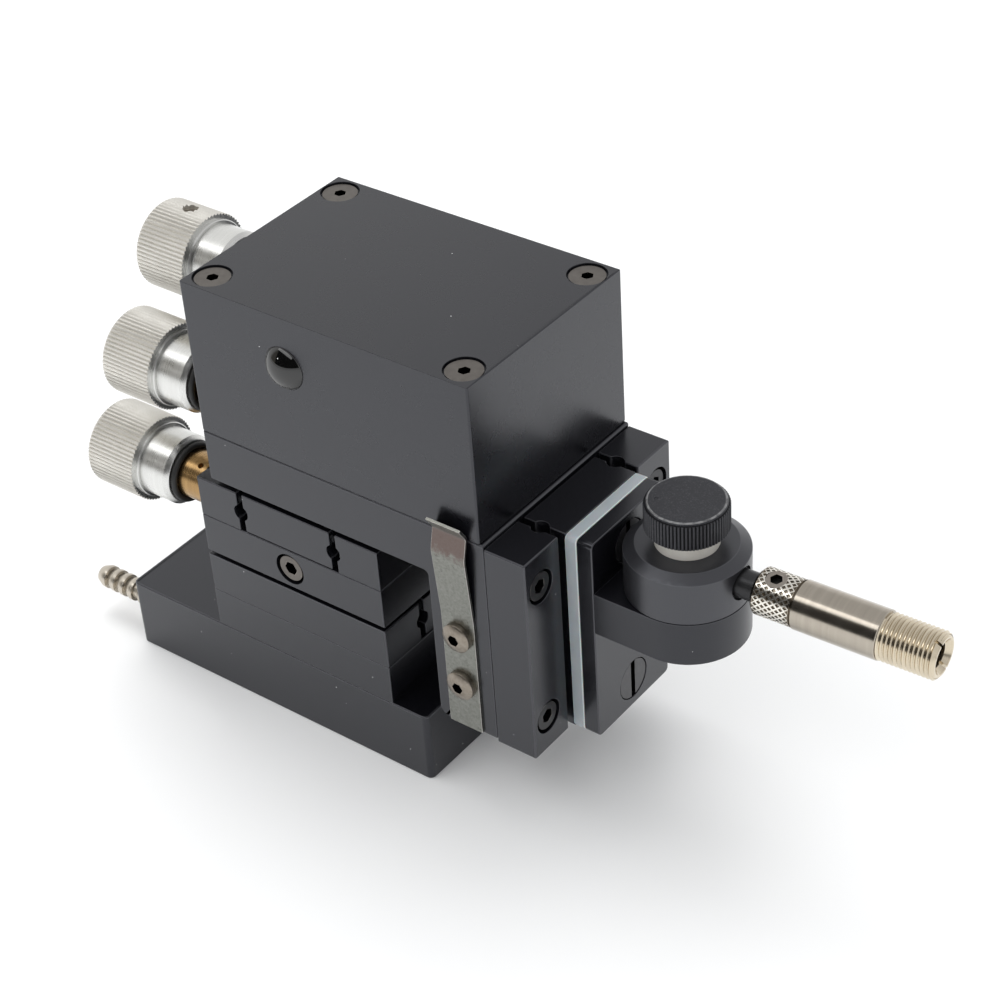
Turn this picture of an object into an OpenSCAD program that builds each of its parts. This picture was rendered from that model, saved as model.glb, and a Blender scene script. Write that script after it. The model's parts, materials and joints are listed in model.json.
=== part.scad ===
// Three-axis micromanipulator: vacuum base, crossed ball slides, upright ball slide, probe holder.
// Millimetres. The origin is the middle of the underside of the base block, +Z is up and +X points
// toward the probe end.

/* [Base] */
// Length of the base block
base_l = 75; // [72:1:90]
// Width of the base block and of every plate on it
body_w = 43.5; // [42:0.5:48]
// Height of the base block
base_h = 15.3; // [14:0.1:20]
// Radius of the upright edges of the base block
base_r = 1.2; // [0.8:0.1:3]
// Width of the vacuum channel in the underside
channel_w = 6; // [4:0.5:7]
// Depth of the vacuum channel
channel_d = 1.6; // [1:0.1:3]
// Rim left outside the vacuum channel
channel_rim = 10; // [9:0.5:11]
// Length of the hose barb behind the base
barb_l = 14.7; // [12:0.1:20]
// Largest radius of the barb ridges
barb_r = 2.4; // [2.2:0.1:3]
// Radius of the barb between ridges
barb_root_r = 1.75; // [1.6:0.05:2]
// Number of ridges on the barb
barb_ridges = 4; // [3:1:5]

/* [Stack] */
// Length of each square plate
deck_l = 43.4; // [42:0.1:46]
// Thickness of each plate and each slide
deck_t = 8.6; // [8.2:0.1:10]
// How far forward of the base's middle the stack stands
deck_x = 7.9; // [6:0.1:10]
// Air gap over the lower slide's rails
lower_gap = 0.8; // [0.5:0.1:1.2]
// Air gap over the cross slide's rails
upper_gap = 1.1; // [0.8:0.1:1.5]

/* [Ball slides] */
// Width of a side rail
rail_w = 9.8; // [9:0.1:10]
// Gap between a side rail and the centre block
race_gap = 1.4; // [1.2:0.1:1.6]
// Radius of the balls
ball_r = 1.55; // [1.4:0.05:1.7]
// Balls in one cage
ball_count = 7; // [4:1:7]
// Distance from ball to ball
ball_pitch = 5.6; // [5:0.1:6]
// Distance of a rail screw from the outer face of its rail
rail_screw_in = 4.3; // [4:0.1:4.6]
// Distance between the two screws of a rail
rail_screw_span = 29.3; // [26:0.1:31]
// The same distance on the hidden rails of the cross slide
cross_screw_span = 20; // [19:0.1:20]

/* [Bracket and cover] */
// Thickness of the bracket's top plate
bracket_t = 10.8; // [10:0.1:13]
// Thickness of the bracket's upright leg
leg_t = 12.9; // [12:0.1:14]
// How far the leg's front stands ahead of the cover's front
leg_ahead = 0.7; // [0.5:0.1:1.5]
// Height of the leg's foot above the table
leg_low = 18.8; // [18:0.1:22]
// Rounding of the leg's foot
leg_foot_r = 2; // [1:0.5:3]
// Fillet inside the bracket's corner
bracket_fillet = 1; // [0.5:0.5:2]
// Length of the cover
cover_l = 63.5; // [62:0.5:66]
// Height of the cover
cover_h = 31.8; // [30:0.1:34]
// How far the cover's rear stands ahead of the stack's rear
cover_step = 3.8; // [3:0.1:5]
// Wall of the cover
cover_wall = 2.6; // [2:0.1:3]
// Side of the square screw posts in the cover's corners
post_w = 8.6; // [8.6:0.1:9]
// Cover screws: distance from the cover's ends
cover_screw_x = 3.95; // [3.9:0.05:4.2]
// Cover screws: distance from the cover's sides
cover_screw_y = 4.4; // [4.2:0.1:4.4]
// Radius of the domed plug
plug_r = 4.3; // [4:0.1:5]
// Height of the plug's dome
plug_dome = 2.3; // [1.8:0.1:2.8]
// Plug: distance ahead of the cover's rear
plug_x = 22.9; // [20:0.1:40]
// Plug: height above the cover's lower edge
plug_z = 21.5; // [16:0.1:24]

/* [Lead clip] */
// Width of the clip strip
clip_w = 7.2; // [6:0.1:8]
// Thickness of the clip strip
clip_t = 0.5; // [0.4:0.05:0.6]
// Clip's middle behind the leg's front face
clip_in = 6.6; // [6:0.1:7]
// Height of the clip's foot above the leg's foot
clip_low = 0.3; // [0.2:0.1:2]
// Length of the clip that lies flat on the leg
clip_flat = 25; // [23:0.5:27]
// Rise of the outward leaning part
clip_rise = 14.6; // [13:0.1:16]
// How far that part leans out
clip_out = 1.2; // [0.8:0.1:1.6]
// Rise of the part that turns back
clip_back = 4.4; // [4:0.1:5]
// Rise of the flared lip
clip_lip = 2.6; // [2:0.1:3]
// How far the lip flares
clip_flare = 1.9; // [1.5:0.1:2.5]
// Gap left between the clip's nip and the cover
clip_nip = 0.2; // [0.1:0.05:0.4]
// Lower clip screw above the clip's foot
clip_screw_low = 10.1; // [9:0.1:12]
// Upper clip screw above the clip's foot
clip_screw_high = 21.1; // [19:0.1:22]

/* [Knobs] */
// Radius over the ribs
thimble_r = 8.5; // [8.4:0.1:8.9]
// Radius of the plain shoulder
shoulder_r = 7.5; // [7.3:0.1:7.8]
// Depth of the ribs
rib_d = 0.35; // [0.25:0.05:0.45]
// Number of ribs
rib_count = 64; // [54:1:72]
// Length of the whole knob, end face to seal
knob_l = 20.6; // [20.2:0.1:22.5]
// Length of the ribbed part
ribbed_l = 11.8; // [11.2:0.1:12.2]
// Length of the plain shoulder ahead of the ribs
shoulder_l = 0.8; // [0.7:0.1:1.5]
// Radius of the polished barrel
barrel_r = 6.9; // [6.8:0.1:7.2]
// Length of the barrel's tapered end
barrel_taper = 0.9; // [0.7:0.1:1.5]
// Radius of the barrel's mouth
barrel_mouth_r = 6.2; // [6:0.1:6.4]
// Radius of the seal ring's cord
seal_cord_r = 0.6; // [0.5:0.05:0.75]
// Radius of the brass bushing
bushing_r = 4.76; // [4.5:0.01:4.9]
// Radius of the bushings' shanks
shank_r = 3.2; // [3:0.1:3.3]
// Length of the lowest bushing's shank
x_shank_l = 7; // [6:0.5:8]
// Length of the upper bushings' shanks
cover_shank_l = 2.2; // [1.8:0.1:2.3]
// Radius of the spindle
spindle_r = 1.25; // [1.1:0.05:1.25]
// Upper knob: sideways place of its axis
z_knob_y = -2.8; // [-4:0.1:4]
// Upper knob: height of its axis above the cover's lower edge
z_knob_h = 23.4; // [22.5:0.1:24]
// Middle knob: distance of its axis from the near side
y_knob_in = 7.35; // [7.35:0.05:8]
// Middle knob: height of its axis above the cover's lower edge
y_knob_h = 5.7; // [5.4:0.1:6.4]
// Lowest knob: distance of its axis from the near side
x_knob_in = 5; // [4.8:0.1:6]
// Lowest knob: bushing left bare behind the seal
x_knob_bare = 5.4; // [4.5:0.1:6.5]
// Middle knob: bushing left bare between the seal and the cover
y_knob_gap = 2.9; // [2:0.1:3.2]
// Upper knob: bushing left bare between the seal and the cover
z_knob_gap = 1.7; // [1.2:0.1:2.2]

/* [Face plate and arm] */
// Width of the insulator, the face plate and the arm
face_w = 22.1; // [21.5:0.1:23]
// Height of the insulator and the face plate
face_h = 43.2; // [42:0.1:44]
// Thickness of the white insulator
insulator_t = 2.4; // [2:0.1:3]
// Thickness of the face plate
face_t = 3.2; // [3:0.1:4]
// How far the upright centre block stands proud of its rails
face_proud = 0.6; // [0.4:0.1:1]
// Distance between the slotted screws
face_screw_span = 31.5; // [30:0.1:32]
// Underside of the arm above the table
arm_low = 42.6; // [41:0.1:43]
// Thickness of the arm
arm_t = 8.7; // [8.5:0.1:9]
// From the face plate to the swivel's axis
arm_reach = 12; // [11.5:0.1:16]

/* [Swivel and holder] */
// Radius of the swivel disc
disc_r = 11; // [10.5:0.1:11.5]
// Height of the swivel disc
disc_h = 9.4; // [9:0.1:10]
// Height of the disc's sloped top edge
disc_slope_h = 1.2; // [1:0.1:1.5]
// Width of the disc's sloped top edge
disc_slope_w = 2; // [1.5:0.1:2.5]
// Radius of the pale washer
washer_r = 5.65; // [5:0.05:6]
// Thickness of the pale washer
washer_t = 3.2; // [2.8:0.1:3.5]
// Radius of the thumb knob
thumb_r = 7.4; // [7:0.1:8]
// Height of the thumb knob
thumb_h = 5.4; // [5:0.1:7]
// Ribs on the thumb knob
thumb_ribs = 72; // [56:1:80]
// Depth of the thumb knob's ribs
thumb_rib_d = 0.35; // [0.25:0.05:0.4]
// Radius of the thumb screw
thumb_screw_r = 2.4; // [2.2:0.1:2.6]
// How far round the holder stands from straight ahead
swivel_set = 2; // [0:0.5:10]
// Radius of the pin that carries the holder
stub_r = 2.6; // [2.4:0.1:2.8]
// From the swivel's axis to the holder's rear
holder_from = 14.2; // [13.5:0.1:16]
// Length of the knurled sleeve
sleeve_l = 7.8; // [7:0.1:9]
// Radius of the knurled sleeve
sleeve_r = 4.25; // [4.1:0.05:4.4]
// Radius of the smooth part
smooth_r = 4.4; // [4.3:0.05:4.6]
// Length of the smooth part
smooth_l = 15.5; // [14:0.1:18]
// Radius of the thread
thread_r = 4.25; // [4.1:0.05:4.3]
// Length of the thread
thread_l = 10.4; // [9:0.1:12]
// Pitch of the thread
thread_pitch = 0.8; // [0.7:0.1:1]
// Depth of the thread
thread_d = 0.3; // [0.2:0.05:0.35]
// Radius of the probe bore
probe_r = 2.3; // [2:0.05:2.4]
// Depth of the probe bore
probe_depth = 24; // [20:1:26]
// Width of the slot across the holder's end
end_slot_w = 0.5; // [0.4:0.1:0.8]
// Depth of that slot
end_slot_d = 1.2; // [1:0.1:1.6]

/* [Fasteners] */
// Radius of the small screws
screw_r = 1.5; // [1.4:0.1:1.6]
// Radius of a cap screw's head
cap_r = 2.7; // [2.6:0.05:2.8]
// Height of a cap screw's head
cap_h = 3; // [2.8:0.1:3.1]
// Width of a cap screw's hex socket
cap_hex = 2.5; // [2.4:0.1:2.6]
// Room around a sunk cap screw head
cap_room = 0.6; // [0.4:0.1:0.7]
// Radius of a cover screw's head
flat_r = 3.3; // [3.2:0.1:3.5]
// Height of a cover screw's head
flat_h = 2; // [1.8:0.1:2.2]
// Radius of a cover screw
flat_screw_r = 1.5; // [1.4:0.05:1.5]
// Radius of a button head
button_r = 2.9; // [2.7:0.1:3]
// Height of a button head
button_h = 1.8; // [1.7:0.1:2]
// Straight rim of a button head, under its dome
button_rim = 1; // [0.8:0.1:1.1]
// Width of the hex socket in flat and button heads
small_hex = 2; // [1.8:0.1:2.1]
// Radius of a slotted screw's head
slotted_r = 3.95; // [3.8:0.05:4.1]
// Height of a slotted screw's head
slotted_h = 1.9; // [1.7:0.1:2]
// Radius of a slotted screw
slotted_screw_r = 2; // [1.8:0.1:2.1]
// Width of its slot
slot_w = 1.2; // [1:0.1:1.4]
// Radius of the knobs' set screws
grub_r = 1.5; // [1.4:0.1:1.6]
// Radius of the holder's set screw
holder_screw_r = 1.85; // [1.7:0.05:2]

/* [Hidden] */
$fn = 96;

// Clearances
run = 0.05;          // turning and sliding fits, on the radius
face_run = 0.1;      // between faces that turn on each other
under_gap = 0.3;     // under a slide's centre block
cut = 1;             // how far a cut runs past a face
sink = 0.3;          // how far sunk heads lie below their face
socket_share = 0.7;  // depth of a socket as a share of its head

// Levels of the stack
deck_z = base_h;
x_rail_z = deck_z + deck_t;
x_plate_z = x_rail_z + deck_t + lower_gap;
y_rail_z = x_plate_z + deck_t;
bracket_z = y_rail_z + deck_t + upper_gap;
cover_z = bracket_z + bracket_t;

// Places along the length
stack_back = deck_x - deck_l / 2;
cover_back = stack_back + cover_step;
cover_front = cover_back + cover_l;
leg_front = cover_front + leg_ahead;
leg_back = leg_front - leg_t;
rail_top_drop = 0.7;
rail_top = cover_z - rail_top_drop;
z_slide_mid = rail_top - body_w / 2;
face_back = leg_front + deck_t + face_proud;
face_mid_z = rail_top - face_h / 2;
plate_back = face_back + insulator_t;
plate_front = plate_back + face_t;
swivel_x = plate_front + arm_reach;
disc_z = arm_low + arm_t + face_run;
disc_top = disc_z + disc_h;
holder_z = disc_z + disc_h / 2;
thumb_z = disc_top + washer_t + face_run;

// Ball slides
race_r = ball_r + face_run;
pocket_r = cap_r + cap_room;
pocket_d = cap_h + sink;
grip = 5;            // length of screw in the plate below
cage_t = 0.5;
cage_h = 4.6;
cage_end = 1.6;      // strip left beyond the last ball
pad_in = 5.5;        // how far a centre block's raised pad stays inside its ends
pad_side = 2;        // and inside its sides
plate_screw_share = 0.3;
plate_screw_span = 26;
bracket_screw_span = 23.4;

// Knob sections, measured back from the seal's front face
seal_w = 2 * seal_cord_r;
barrel_back = knob_l - ribbed_l - shoulder_l;
spigot_r = bushing_r + 1.1;
sleeve_over = 7;     // length of bushing covered by the barrel
rib_crest_share = 0.3;   // share of a rib's width taken by each of its first two faces
rib_slope_share = 0.15;  // share of a rib's depth lost along its crest
thimble_edge = 0.5;
shoulder_edge = 0.15;
grub_back = 6.3;
grub_sink = 0.7;
spigot_gap = 0.5;    // left between the barrel's spigot and the set screw
thimble_end = 1.7;   // closed end of the thimble
spigot_l = ribbed_l + shoulder_l - grub_back - grub_r - spigot_gap;
spindle_hold = ribbed_l + shoulder_l - thimble_end;   // spindle behind the barrel's rear

// Small shapes shared by several pieces

module round_rect(l, w, r) {
    square([l - 2 * r, w], center = true);
    square([l, w - 2 * r], center = true);
    for (sx = [-1, 1], sy = [-1, 1])
        translate([sx * (l / 2 - r), sy * (w / 2 - r)]) circle(r);
}

// Hexagonal socket, w wide across its flats, going down from z = 0
module hex_socket(w, d) {
    translate([0, 0, -d]) cylinder(r = w / sqrt(3), h = d + cut, $fn = 6);
}

// Cap screw, its head's top at z = 0 and its length below the head pointing down
module cap_screw(l) {
    difference() {
        union() {
            translate([0, 0, -cap_h]) cylinder(r = cap_r, h = cap_h);
            translate([0, 0, -cap_h - l]) cylinder(r = screw_r, h = l + cap_h / 2);
        }
        hex_socket(cap_hex, cap_h / 2);
    }
}

// Pocket and hole for a cap screw in a plate of thickness t whose face is z = 0
module cap_pocket(t) {
    translate([0, 0, -pocket_d]) cylinder(r = pocket_r, h = pocket_d + cut);
    translate([0, 0, -t - cut]) cylinder(r = screw_r, h = t + cut);
}

// Dome of radius r and height h standing on z = 0
module dome(r, h) {
    ball = (r * r + h * h) / (2 * h);
    intersection() {
        translate([0, 0, h - ball]) sphere(ball);
        cylinder(r = r + cut, h = h + cut);
    }
}

// One ball slide. Travel runs along X, the rails stand on z = 0.

module slide_holes(span, w, z) {
    for (sx = [-1, 1], sy = [-1, 1])
        translate([sx * span / 2, sy * (w / 2 - rail_screw_in), z]) children();
}

module slide_races(l, w, t) {
    for (s = [-1, 1])
        translate([-l / 2 - cut, s * (w / 2 - rail_w - race_gap / 2), t / 2])
            rotate([0, 90, 0]) cylinder(r = race_r, h = l + 2 * cut);
}

module slide_rails(l, w, t, span) {
    difference() {
        for (s = [-1, 1])
            translate([-l / 2, s * (w / 2 - rail_w / 2) - rail_w / 2, 0]) cube([l, rail_w, t]);
        slide_races(l, w, t);
        slide_holes(span, w, t) cap_pocket(t);
    }
}

module slide_rail_screws(w, t, span) {
    slide_holes(span, w, t - sink) cap_screw(t - cap_h - sink + grip);
}

// Threaded holes for the rail screws, cut from the plate under the rails
module slide_anchor_holes(w, span) {
    slide_holes(span, w, -grip) cylinder(r = screw_r, h = grip + cut);
}

module slide_cages(l, w, t) {
    strip = (ball_count - 1) * ball_pitch + 2 * (ball_r + cage_end);
    for (s = [-1, 1]) translate([0, s * (w / 2 - rail_w - race_gap / 2), t / 2]) {
        difference() {
            translate([-strip / 2, -cage_t / 2, -cage_h / 2]) cube([strip, cage_t, cage_h]);
            for (i = [0 : ball_count - 1])
                translate([(i - (ball_count - 1) / 2) * ball_pitch, 0, 0])
                    rotate([90, 0, 0])
                    cylinder(r = ball_r, h = cage_t + cut, center = true);
        }
        for (i = [0 : ball_count - 1])
            translate([(i - (ball_count - 1) / 2) * ball_pitch, 0, 0]) sphere(ball_r);
    }
}

// Centre block; lift is how far its top stands above the rails
module slide_block(l, w, t, lift, full) {
    bw = w - 2 * rail_w - 2 * race_gap;
    difference() {
        union() {
            translate([-l / 2, -bw / 2, under_gap])
                cube([l, bw, t - under_gap + (full ? lift : 0)]);
            if (!full) translate([-l / 2 + pad_in, -bw / 2 + pad_side, t / 2])
                cube([l - 2 * pad_in, bw - 2 * pad_side, t / 2 + lift]);
        }
        slide_races(l, w, t);
    }
}

// Four places over a centre block for the screws that hold the next plate down
module block_screw_places(span, w) {
    for (sx = [-1, 1], sy = [-1, 1])
        translate([sx * span / 2, sy * w * plate_screw_share, 0]) children();
}

module block_screw_holes(span, w) {
    block_screw_places(span, w) translate([0, 0, -grip]) cylinder(r = screw_r, h = grip + cut);
}

// The three slides in their places

module at_x_slide() { translate([deck_x, 0, x_rail_z]) children(); }
module at_y_slide() { translate([deck_x, 0, y_rail_z]) rotate([0, 0, 90]) children(); }
module at_z_slide() { translate([leg_front, 0, z_slide_mid]) rotate([0, 90, 0]) children(); }

// One knob. Its axis is X, the seal's front face is x = 0 and the knob lies behind it.

module turned(points) { rotate([0, -90, 0]) rotate_extrude() polygon(points); }

// Cross-section of ribs of depth d: each has a flank, a slightly sloping crest and a second flank
module rib_star(r, d, count) {
    step = 360 / count;
    polygon([for (i = [0 : count - 1], k = [0 : 2])
        let (a = (i + k * rib_crest_share) * step, q = r - d * [1, 0, rib_slope_share][k])
        [q * cos(a), q * sin(a)]]);
}

module thimble(turn) {
    back = knob_l;
    rotate([turn, 0, 0]) difference() {
        union() {
            intersection() {
                translate([-back, 0, 0]) rotate([0, 90, 0])
                    linear_extrude(ribbed_l) rib_star(thimble_r, rib_d, rib_count);
                turned([[0, barrel_back], [thimble_r + cut, barrel_back],
                    [thimble_r + cut, back - thimble_edge - cut],
                    [thimble_r - thimble_edge, back], [0, back]]);
            }
            turned([[0, barrel_back], [shoulder_r - shoulder_edge, barrel_back],
                [shoulder_r, barrel_back + shoulder_edge],
                [shoulder_r, back - ribbed_l], [0, back - ribbed_l]]);
        }
        turned([[0, barrel_back - cut], [spigot_r, barrel_back - cut],
            [spigot_r, barrel_back + spigot_l], [spindle_r, barrel_back + spigot_l],
            [spindle_r, barrel_back + spindle_hold], [0, barrel_back + spindle_hold]]);
        translate([-back + grub_back, 0, 0]) cylinder(r = grub_r, h = thimble_r + cut);
    }
}

module grub(turn) {
    rotate([turn, 0, 0]) translate([-knob_l + grub_back, 0, 0]) difference() {
        translate([0, 0, spindle_r])
            cylinder(r = grub_r, h = thimble_r - rib_d - grub_sink - spindle_r);
        translate([0, 0, thimble_r - rib_d - grub_sink]) hex_socket(screw_r, screw_r);
    }
}

module barrel() {
    difference() {
        turned([[0, seal_w], [barrel_mouth_r, seal_w],
            [barrel_r, seal_w + barrel_taper], [barrel_r, barrel_back],
            [spigot_r, barrel_back], [spigot_r, barrel_back + spigot_l],
            [0, barrel_back + spigot_l]]);
        turned([[0, seal_w - cut], [bushing_r + run, seal_w - cut],
            [bushing_r + run, sleeve_over + 2 * run], [0, sleeve_over + 2 * run]]);
        turned([[0, 0], [spindle_r, 0], [spindle_r, knob_l], [0, knob_l]]);
    }
}

module o_ring() {
    translate([-seal_cord_r, 0, 0]) rotate([0, 90, 0]) rotate_extrude()
        translate([bushing_r + run + seal_cord_r, 0]) circle(seal_cord_r);
}

module bushing(bare, shank) {
    front = -bare - shank;
    turned([[spindle_r + run, front], [shank_r, front], [shank_r, -bare], [bushing_r, -bare],
        [bushing_r, sleeve_over], [spindle_r + run, sleeve_over]]);
}

// Hole for a bushing's shank and its spindle, going forward from x = 0
module bushing_hole(shank, depth) {
    translate([-cut, 0, 0]) rotate([0, 90, 0]) {
        cylinder(r = shank_r, h = shank + cut);
        cylinder(r = spindle_r + 2 * run, h = depth + cut);
    }
}

module spindle(bare, reach) {
    turned([[0, -bare - reach], [spindle_r, -bare - reach],
        [spindle_r, barrel_back + spindle_hold], [0, barrel_back + spindle_hold]]);
}

x_knob_y = -body_w / 2 + x_knob_in;
x_knob_z = y_rail_z + deck_t / 2;
y_knob_y = -body_w / 2 + y_knob_in;
y_knob_z = cover_z + y_knob_h;
z_knob_z = cover_z + z_knob_h;
x_reach = x_shank_l + cap_room * 2;
cover_reach = 30;    // how far the upper spindles run into the cover
z_grub_turn = -9;
y_grub_turn = 150;
x_grub_turn = -150;

module at_x_knob() { translate([stack_back - x_knob_bare, x_knob_y, x_knob_z]) children(); }
module at_y_knob() { translate([cover_back - y_knob_gap, y_knob_y, y_knob_z]) children(); }
module at_z_knob() { translate([cover_back - z_knob_gap, z_knob_y, z_knob_z]) children(); }

// Base

barb_y = -body_w / 2 + 5;
barb_z = base_h / 2;
channel_inner_r = 1;
barb_bore_r = 1.1;
barb_shank_l = 5;
barb_shank_r = 2;
passage_l = channel_rim + channel_w;
barb_ridge_l = 2.5;
barb_neck_l = barb_l - barb_ridges * barb_ridge_l;
barb_collar_share = 0.6;    // share of the neck that is the full radius
barb_slope_share = 0.75;    // share of the neck where its slope ends
barb_land_share = 0.35;     // share of a ridge that is the full radius
base_screw_in = 4.6;
base_screw_x = deck_l / 2 - base_screw_in;
base_screw_y = body_w / 2 - base_screw_in;
base_screw_grip = 2.5;

module channel() {
    difference() {
        round_rect(base_l - 2 * channel_rim, body_w - 2 * channel_rim, base_r);
        round_rect(base_l - 2 * channel_rim - 2 * channel_w,
            body_w - 2 * channel_rim - 2 * channel_w, channel_inner_r);
    }
}

module base_block() {
    color("dimgray") difference() {
        linear_extrude(base_h) round_rect(base_l, body_w, base_r);
        translate([0, 0, -cut]) linear_extrude(channel_d + cut) channel();
        // passage from the barb, down and along the underside to the channel
        translate([-base_l / 2 - cut, barb_y, barb_z]) rotate([0, 90, 0]) {
            cylinder(r = barb_shank_r, h = barb_shank_l + cut);
            cylinder(r = barb_bore_r, h = passage_l + cut);
        }
        translate([-base_l / 2 + passage_l - barb_bore_r, barb_y, -cut])
            cylinder(r = barb_bore_r, h = barb_z + cut);
        translate([-base_l / 2 + passage_l - 2 * barb_bore_r, barb_y, -cut])
            cube([2 * barb_bore_r, -barb_y - body_w / 2 + channel_rim + channel_w,
                channel_d + cut]);
        for (sx = [-1, 1], sy = [-1, 1])
            translate([deck_x + sx * base_screw_x, sy * base_screw_y, 0])
                rotate([180, 0, 0]) cap_pocket(base_h);
    }
}

module hose_barb() {
    color("silver") translate([-base_l / 2, barb_y, barb_z]) difference() {
        union() {
            turned([[0, -barb_shank_l], [barb_shank_r, -barb_shank_l], [barb_shank_r, 0],
                [barb_r, 0], [barb_r, barb_neck_l * barb_collar_share],
                [barb_root_r, barb_neck_l * barb_slope_share], [barb_root_r, barb_neck_l],
                [0, barb_neck_l]]);
            for (i = [0 : barb_ridges - 1])
                translate([-barb_neck_l - i * barb_ridge_l, 0, 0])
                    turned([[0, 0], [barb_r, 0], [barb_r, barb_land_share * barb_ridge_l],
                        [barb_root_r, barb_ridge_l], [0, barb_ridge_l]]);
        }
        turned([[0, -barb_shank_l - cut], [barb_bore_r, -barb_shank_l - cut],
            [barb_bore_r, barb_l + cut], [0, barb_l + cut]]);
    }
}

module base_screws() {
    color("dimgray") for (sx = [-1, 1], sy = [-1, 1])
        translate([deck_x + sx * base_screw_x, sy * base_screw_y, sink])
            rotate([180, 0, 0]) cap_screw(base_h - cap_h - sink + base_screw_grip);
}

module deck_plate() {
    color("dimgray") difference() {
        translate([stack_back, -body_w / 2, deck_z]) cube([deck_l, body_w, deck_t]);
        for (sx = [-1, 1], sy = [-1, 1])
            translate([deck_x + sx * base_screw_x, sy * base_screw_y, deck_z - cut])
                cylinder(r = screw_r, h = base_screw_grip + cut);
        at_x_slide() slide_anchor_holes(body_w, rail_screw_span);
    }
}

module x_rails() {
    color("dimgray") at_x_slide() slide_rails(deck_l, body_w, deck_t, rail_screw_span);
}
module x_rail_screws() {
    color("black") at_x_slide() slide_rail_screws(body_w, deck_t, rail_screw_span);
}
module x_cages() { color("silver") at_x_slide() slide_cages(deck_l, body_w, deck_t); }

// Moving along X

x_block_w = body_w - 2 * rail_w - 2 * race_gap;
y_block_w = deck_l - 2 * rail_w - 2 * race_gap;
lock_x = 7.5;
lock_l = 9;

module x_carriage() {
    color("dimgray") difference() {
        at_x_slide() slide_block(deck_l, body_w, deck_t, lower_gap, false);
        translate([deck_x, 0, x_plate_z]) block_screw_holes(plate_screw_span, x_block_w);
    }
}

module x_plate() {
    color("dimgray") difference() {
        translate([stack_back, -body_w / 2, x_plate_z]) cube([deck_l, body_w, deck_t]);
        translate([deck_x, 0, y_rail_z]) block_screw_places(plate_screw_span, x_block_w)
            cap_pocket(deck_t);
        at_y_slide() slide_anchor_holes(deck_l, cross_screw_span);
        translate([lock_x, -body_w / 2, x_plate_z + deck_t / 2]) rotate([90, 0, 0])
            cap_pocket(pocket_d + lock_l);
    }
}

module x_plate_screws() {
    color("black") translate([deck_x, 0, y_rail_z - sink])
        block_screw_places(plate_screw_span, x_block_w) cap_screw(deck_t - cap_h - sink + grip);
}

module lock_screw() {
    color("dimgray") translate([lock_x, -body_w / 2 + sink, x_plate_z + deck_t / 2])
        rotate([90, 0, 0]) cap_screw(lock_l);
}

module y_rails() {
    color("dimgray") difference() {
        at_y_slide() slide_rails(body_w, deck_l, deck_t, cross_screw_span);
        translate([stack_back, x_knob_y, x_knob_z]) bushing_hole(x_shank_l, x_reach + face_run);
    }
}
module y_rail_screws() {
    color("black") at_y_slide() slide_rail_screws(deck_l, deck_t, cross_screw_span);
}
module y_cages() { color("silver") at_y_slide() slide_cages(body_w, deck_l, deck_t); }

bushing_pin_at = 1.6;
bushing_pin_r = 0.6;
bushing_pin_d = 1.2;
bushing_pin_turn = 25;

module x_bushing() {
    color("goldenrod") difference() {
        at_x_knob() bushing(x_knob_bare, x_shank_l);
        // spanner hole in the bare length
        translate([stack_back - bushing_pin_at, x_knob_y, x_knob_z])
            rotate([bushing_pin_turn, 0, 0]) translate([0, 0, bushing_r - bushing_pin_d])
            cylinder(r = bushing_pin_r, h = bushing_pin_d + cut);
    }
}

module x_thimble() { color("silver") at_x_knob() thimble(x_grub_turn); }
module x_grub() { color("gray") at_x_knob() grub(x_grub_turn); }
module x_barrel() { color("lightgray") at_x_knob() barrel(); }
module x_o_ring() { color("black") at_x_knob() o_ring(); }
module x_spindle() { color("gray") at_x_knob() spindle(x_knob_bare, x_reach); }

// Moving along Y

module y_carriage() {
    color("dimgray") difference() {
        at_y_slide() slide_block(body_w, deck_l, deck_t, upper_gap, false);
        translate([deck_x, 0, bracket_z]) rotate([0, 0, 90])
            block_screw_holes(bracket_screw_span, y_block_w);
    }
}

module bracket_section() {
    difference() {
        union() {
            translate([cover_back, bracket_z]) square([leg_front - cover_back, bracket_t]);
            translate([leg_back, leg_low + leg_foot_r])
                square([leg_t, cover_z - leg_low - leg_foot_r]);
            translate([leg_back + leg_foot_r, leg_low])
                square([leg_t - leg_foot_r, leg_foot_r + bracket_fillet]);
            translate([leg_back + leg_foot_r, leg_low + leg_foot_r]) circle(leg_foot_r);
            translate([leg_back - bracket_fillet, bracket_z - bracket_fillet])
                square(bracket_fillet + leg_foot_r / 2);
        }
        translate([leg_back - bracket_fillet, bracket_z - bracket_fillet])
            circle(bracket_fillet);
    }
}

module bracket() {
    color("dimgray") difference() {
        translate([0, body_w / 2, 0]) rotate([90, 0, 0])
            linear_extrude(body_w) bracket_section();
        translate([deck_x, 0, cover_z]) rotate([0, 0, 90])
            block_screw_places(bracket_screw_span, y_block_w) cap_pocket(bracket_t);
        cover_screw_places() translate([0, 0, -cover_grip])
            cylinder(r = flat_screw_r, h = cover_grip + cut);
        at_z_slide() slide_anchor_holes(body_w, rail_screw_span);
        for (h = [clip_screw_low, clip_screw_high])
            translate([clip_x, -body_w / 2 - cut, leg_low + clip_low + h])
                rotate([-90, 0, 0]) cylinder(r = screw_r, h = clip_screw_l + cut);
    }
}

module bracket_screws() {
    color("black") translate([deck_x, 0, cover_z - sink]) rotate([0, 0, 90])
        block_screw_places(bracket_screw_span, y_block_w)
        cap_screw(bracket_t - cap_h - sink + grip);
}

cover_grip = 6;
clip_x = leg_front - clip_in;
clip_screw_l = 6;
flat_room = 0.35;     // ring left open round a cover screw's head
flat_ring_d = 0.8;

module cover_screw_places() {
    for (x = [cover_back + cover_screw_x, cover_front - cover_screw_x], s = [-1, 1])
        translate([x, s * (body_w / 2 - cover_screw_y), cover_z]) children();
}

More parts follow.
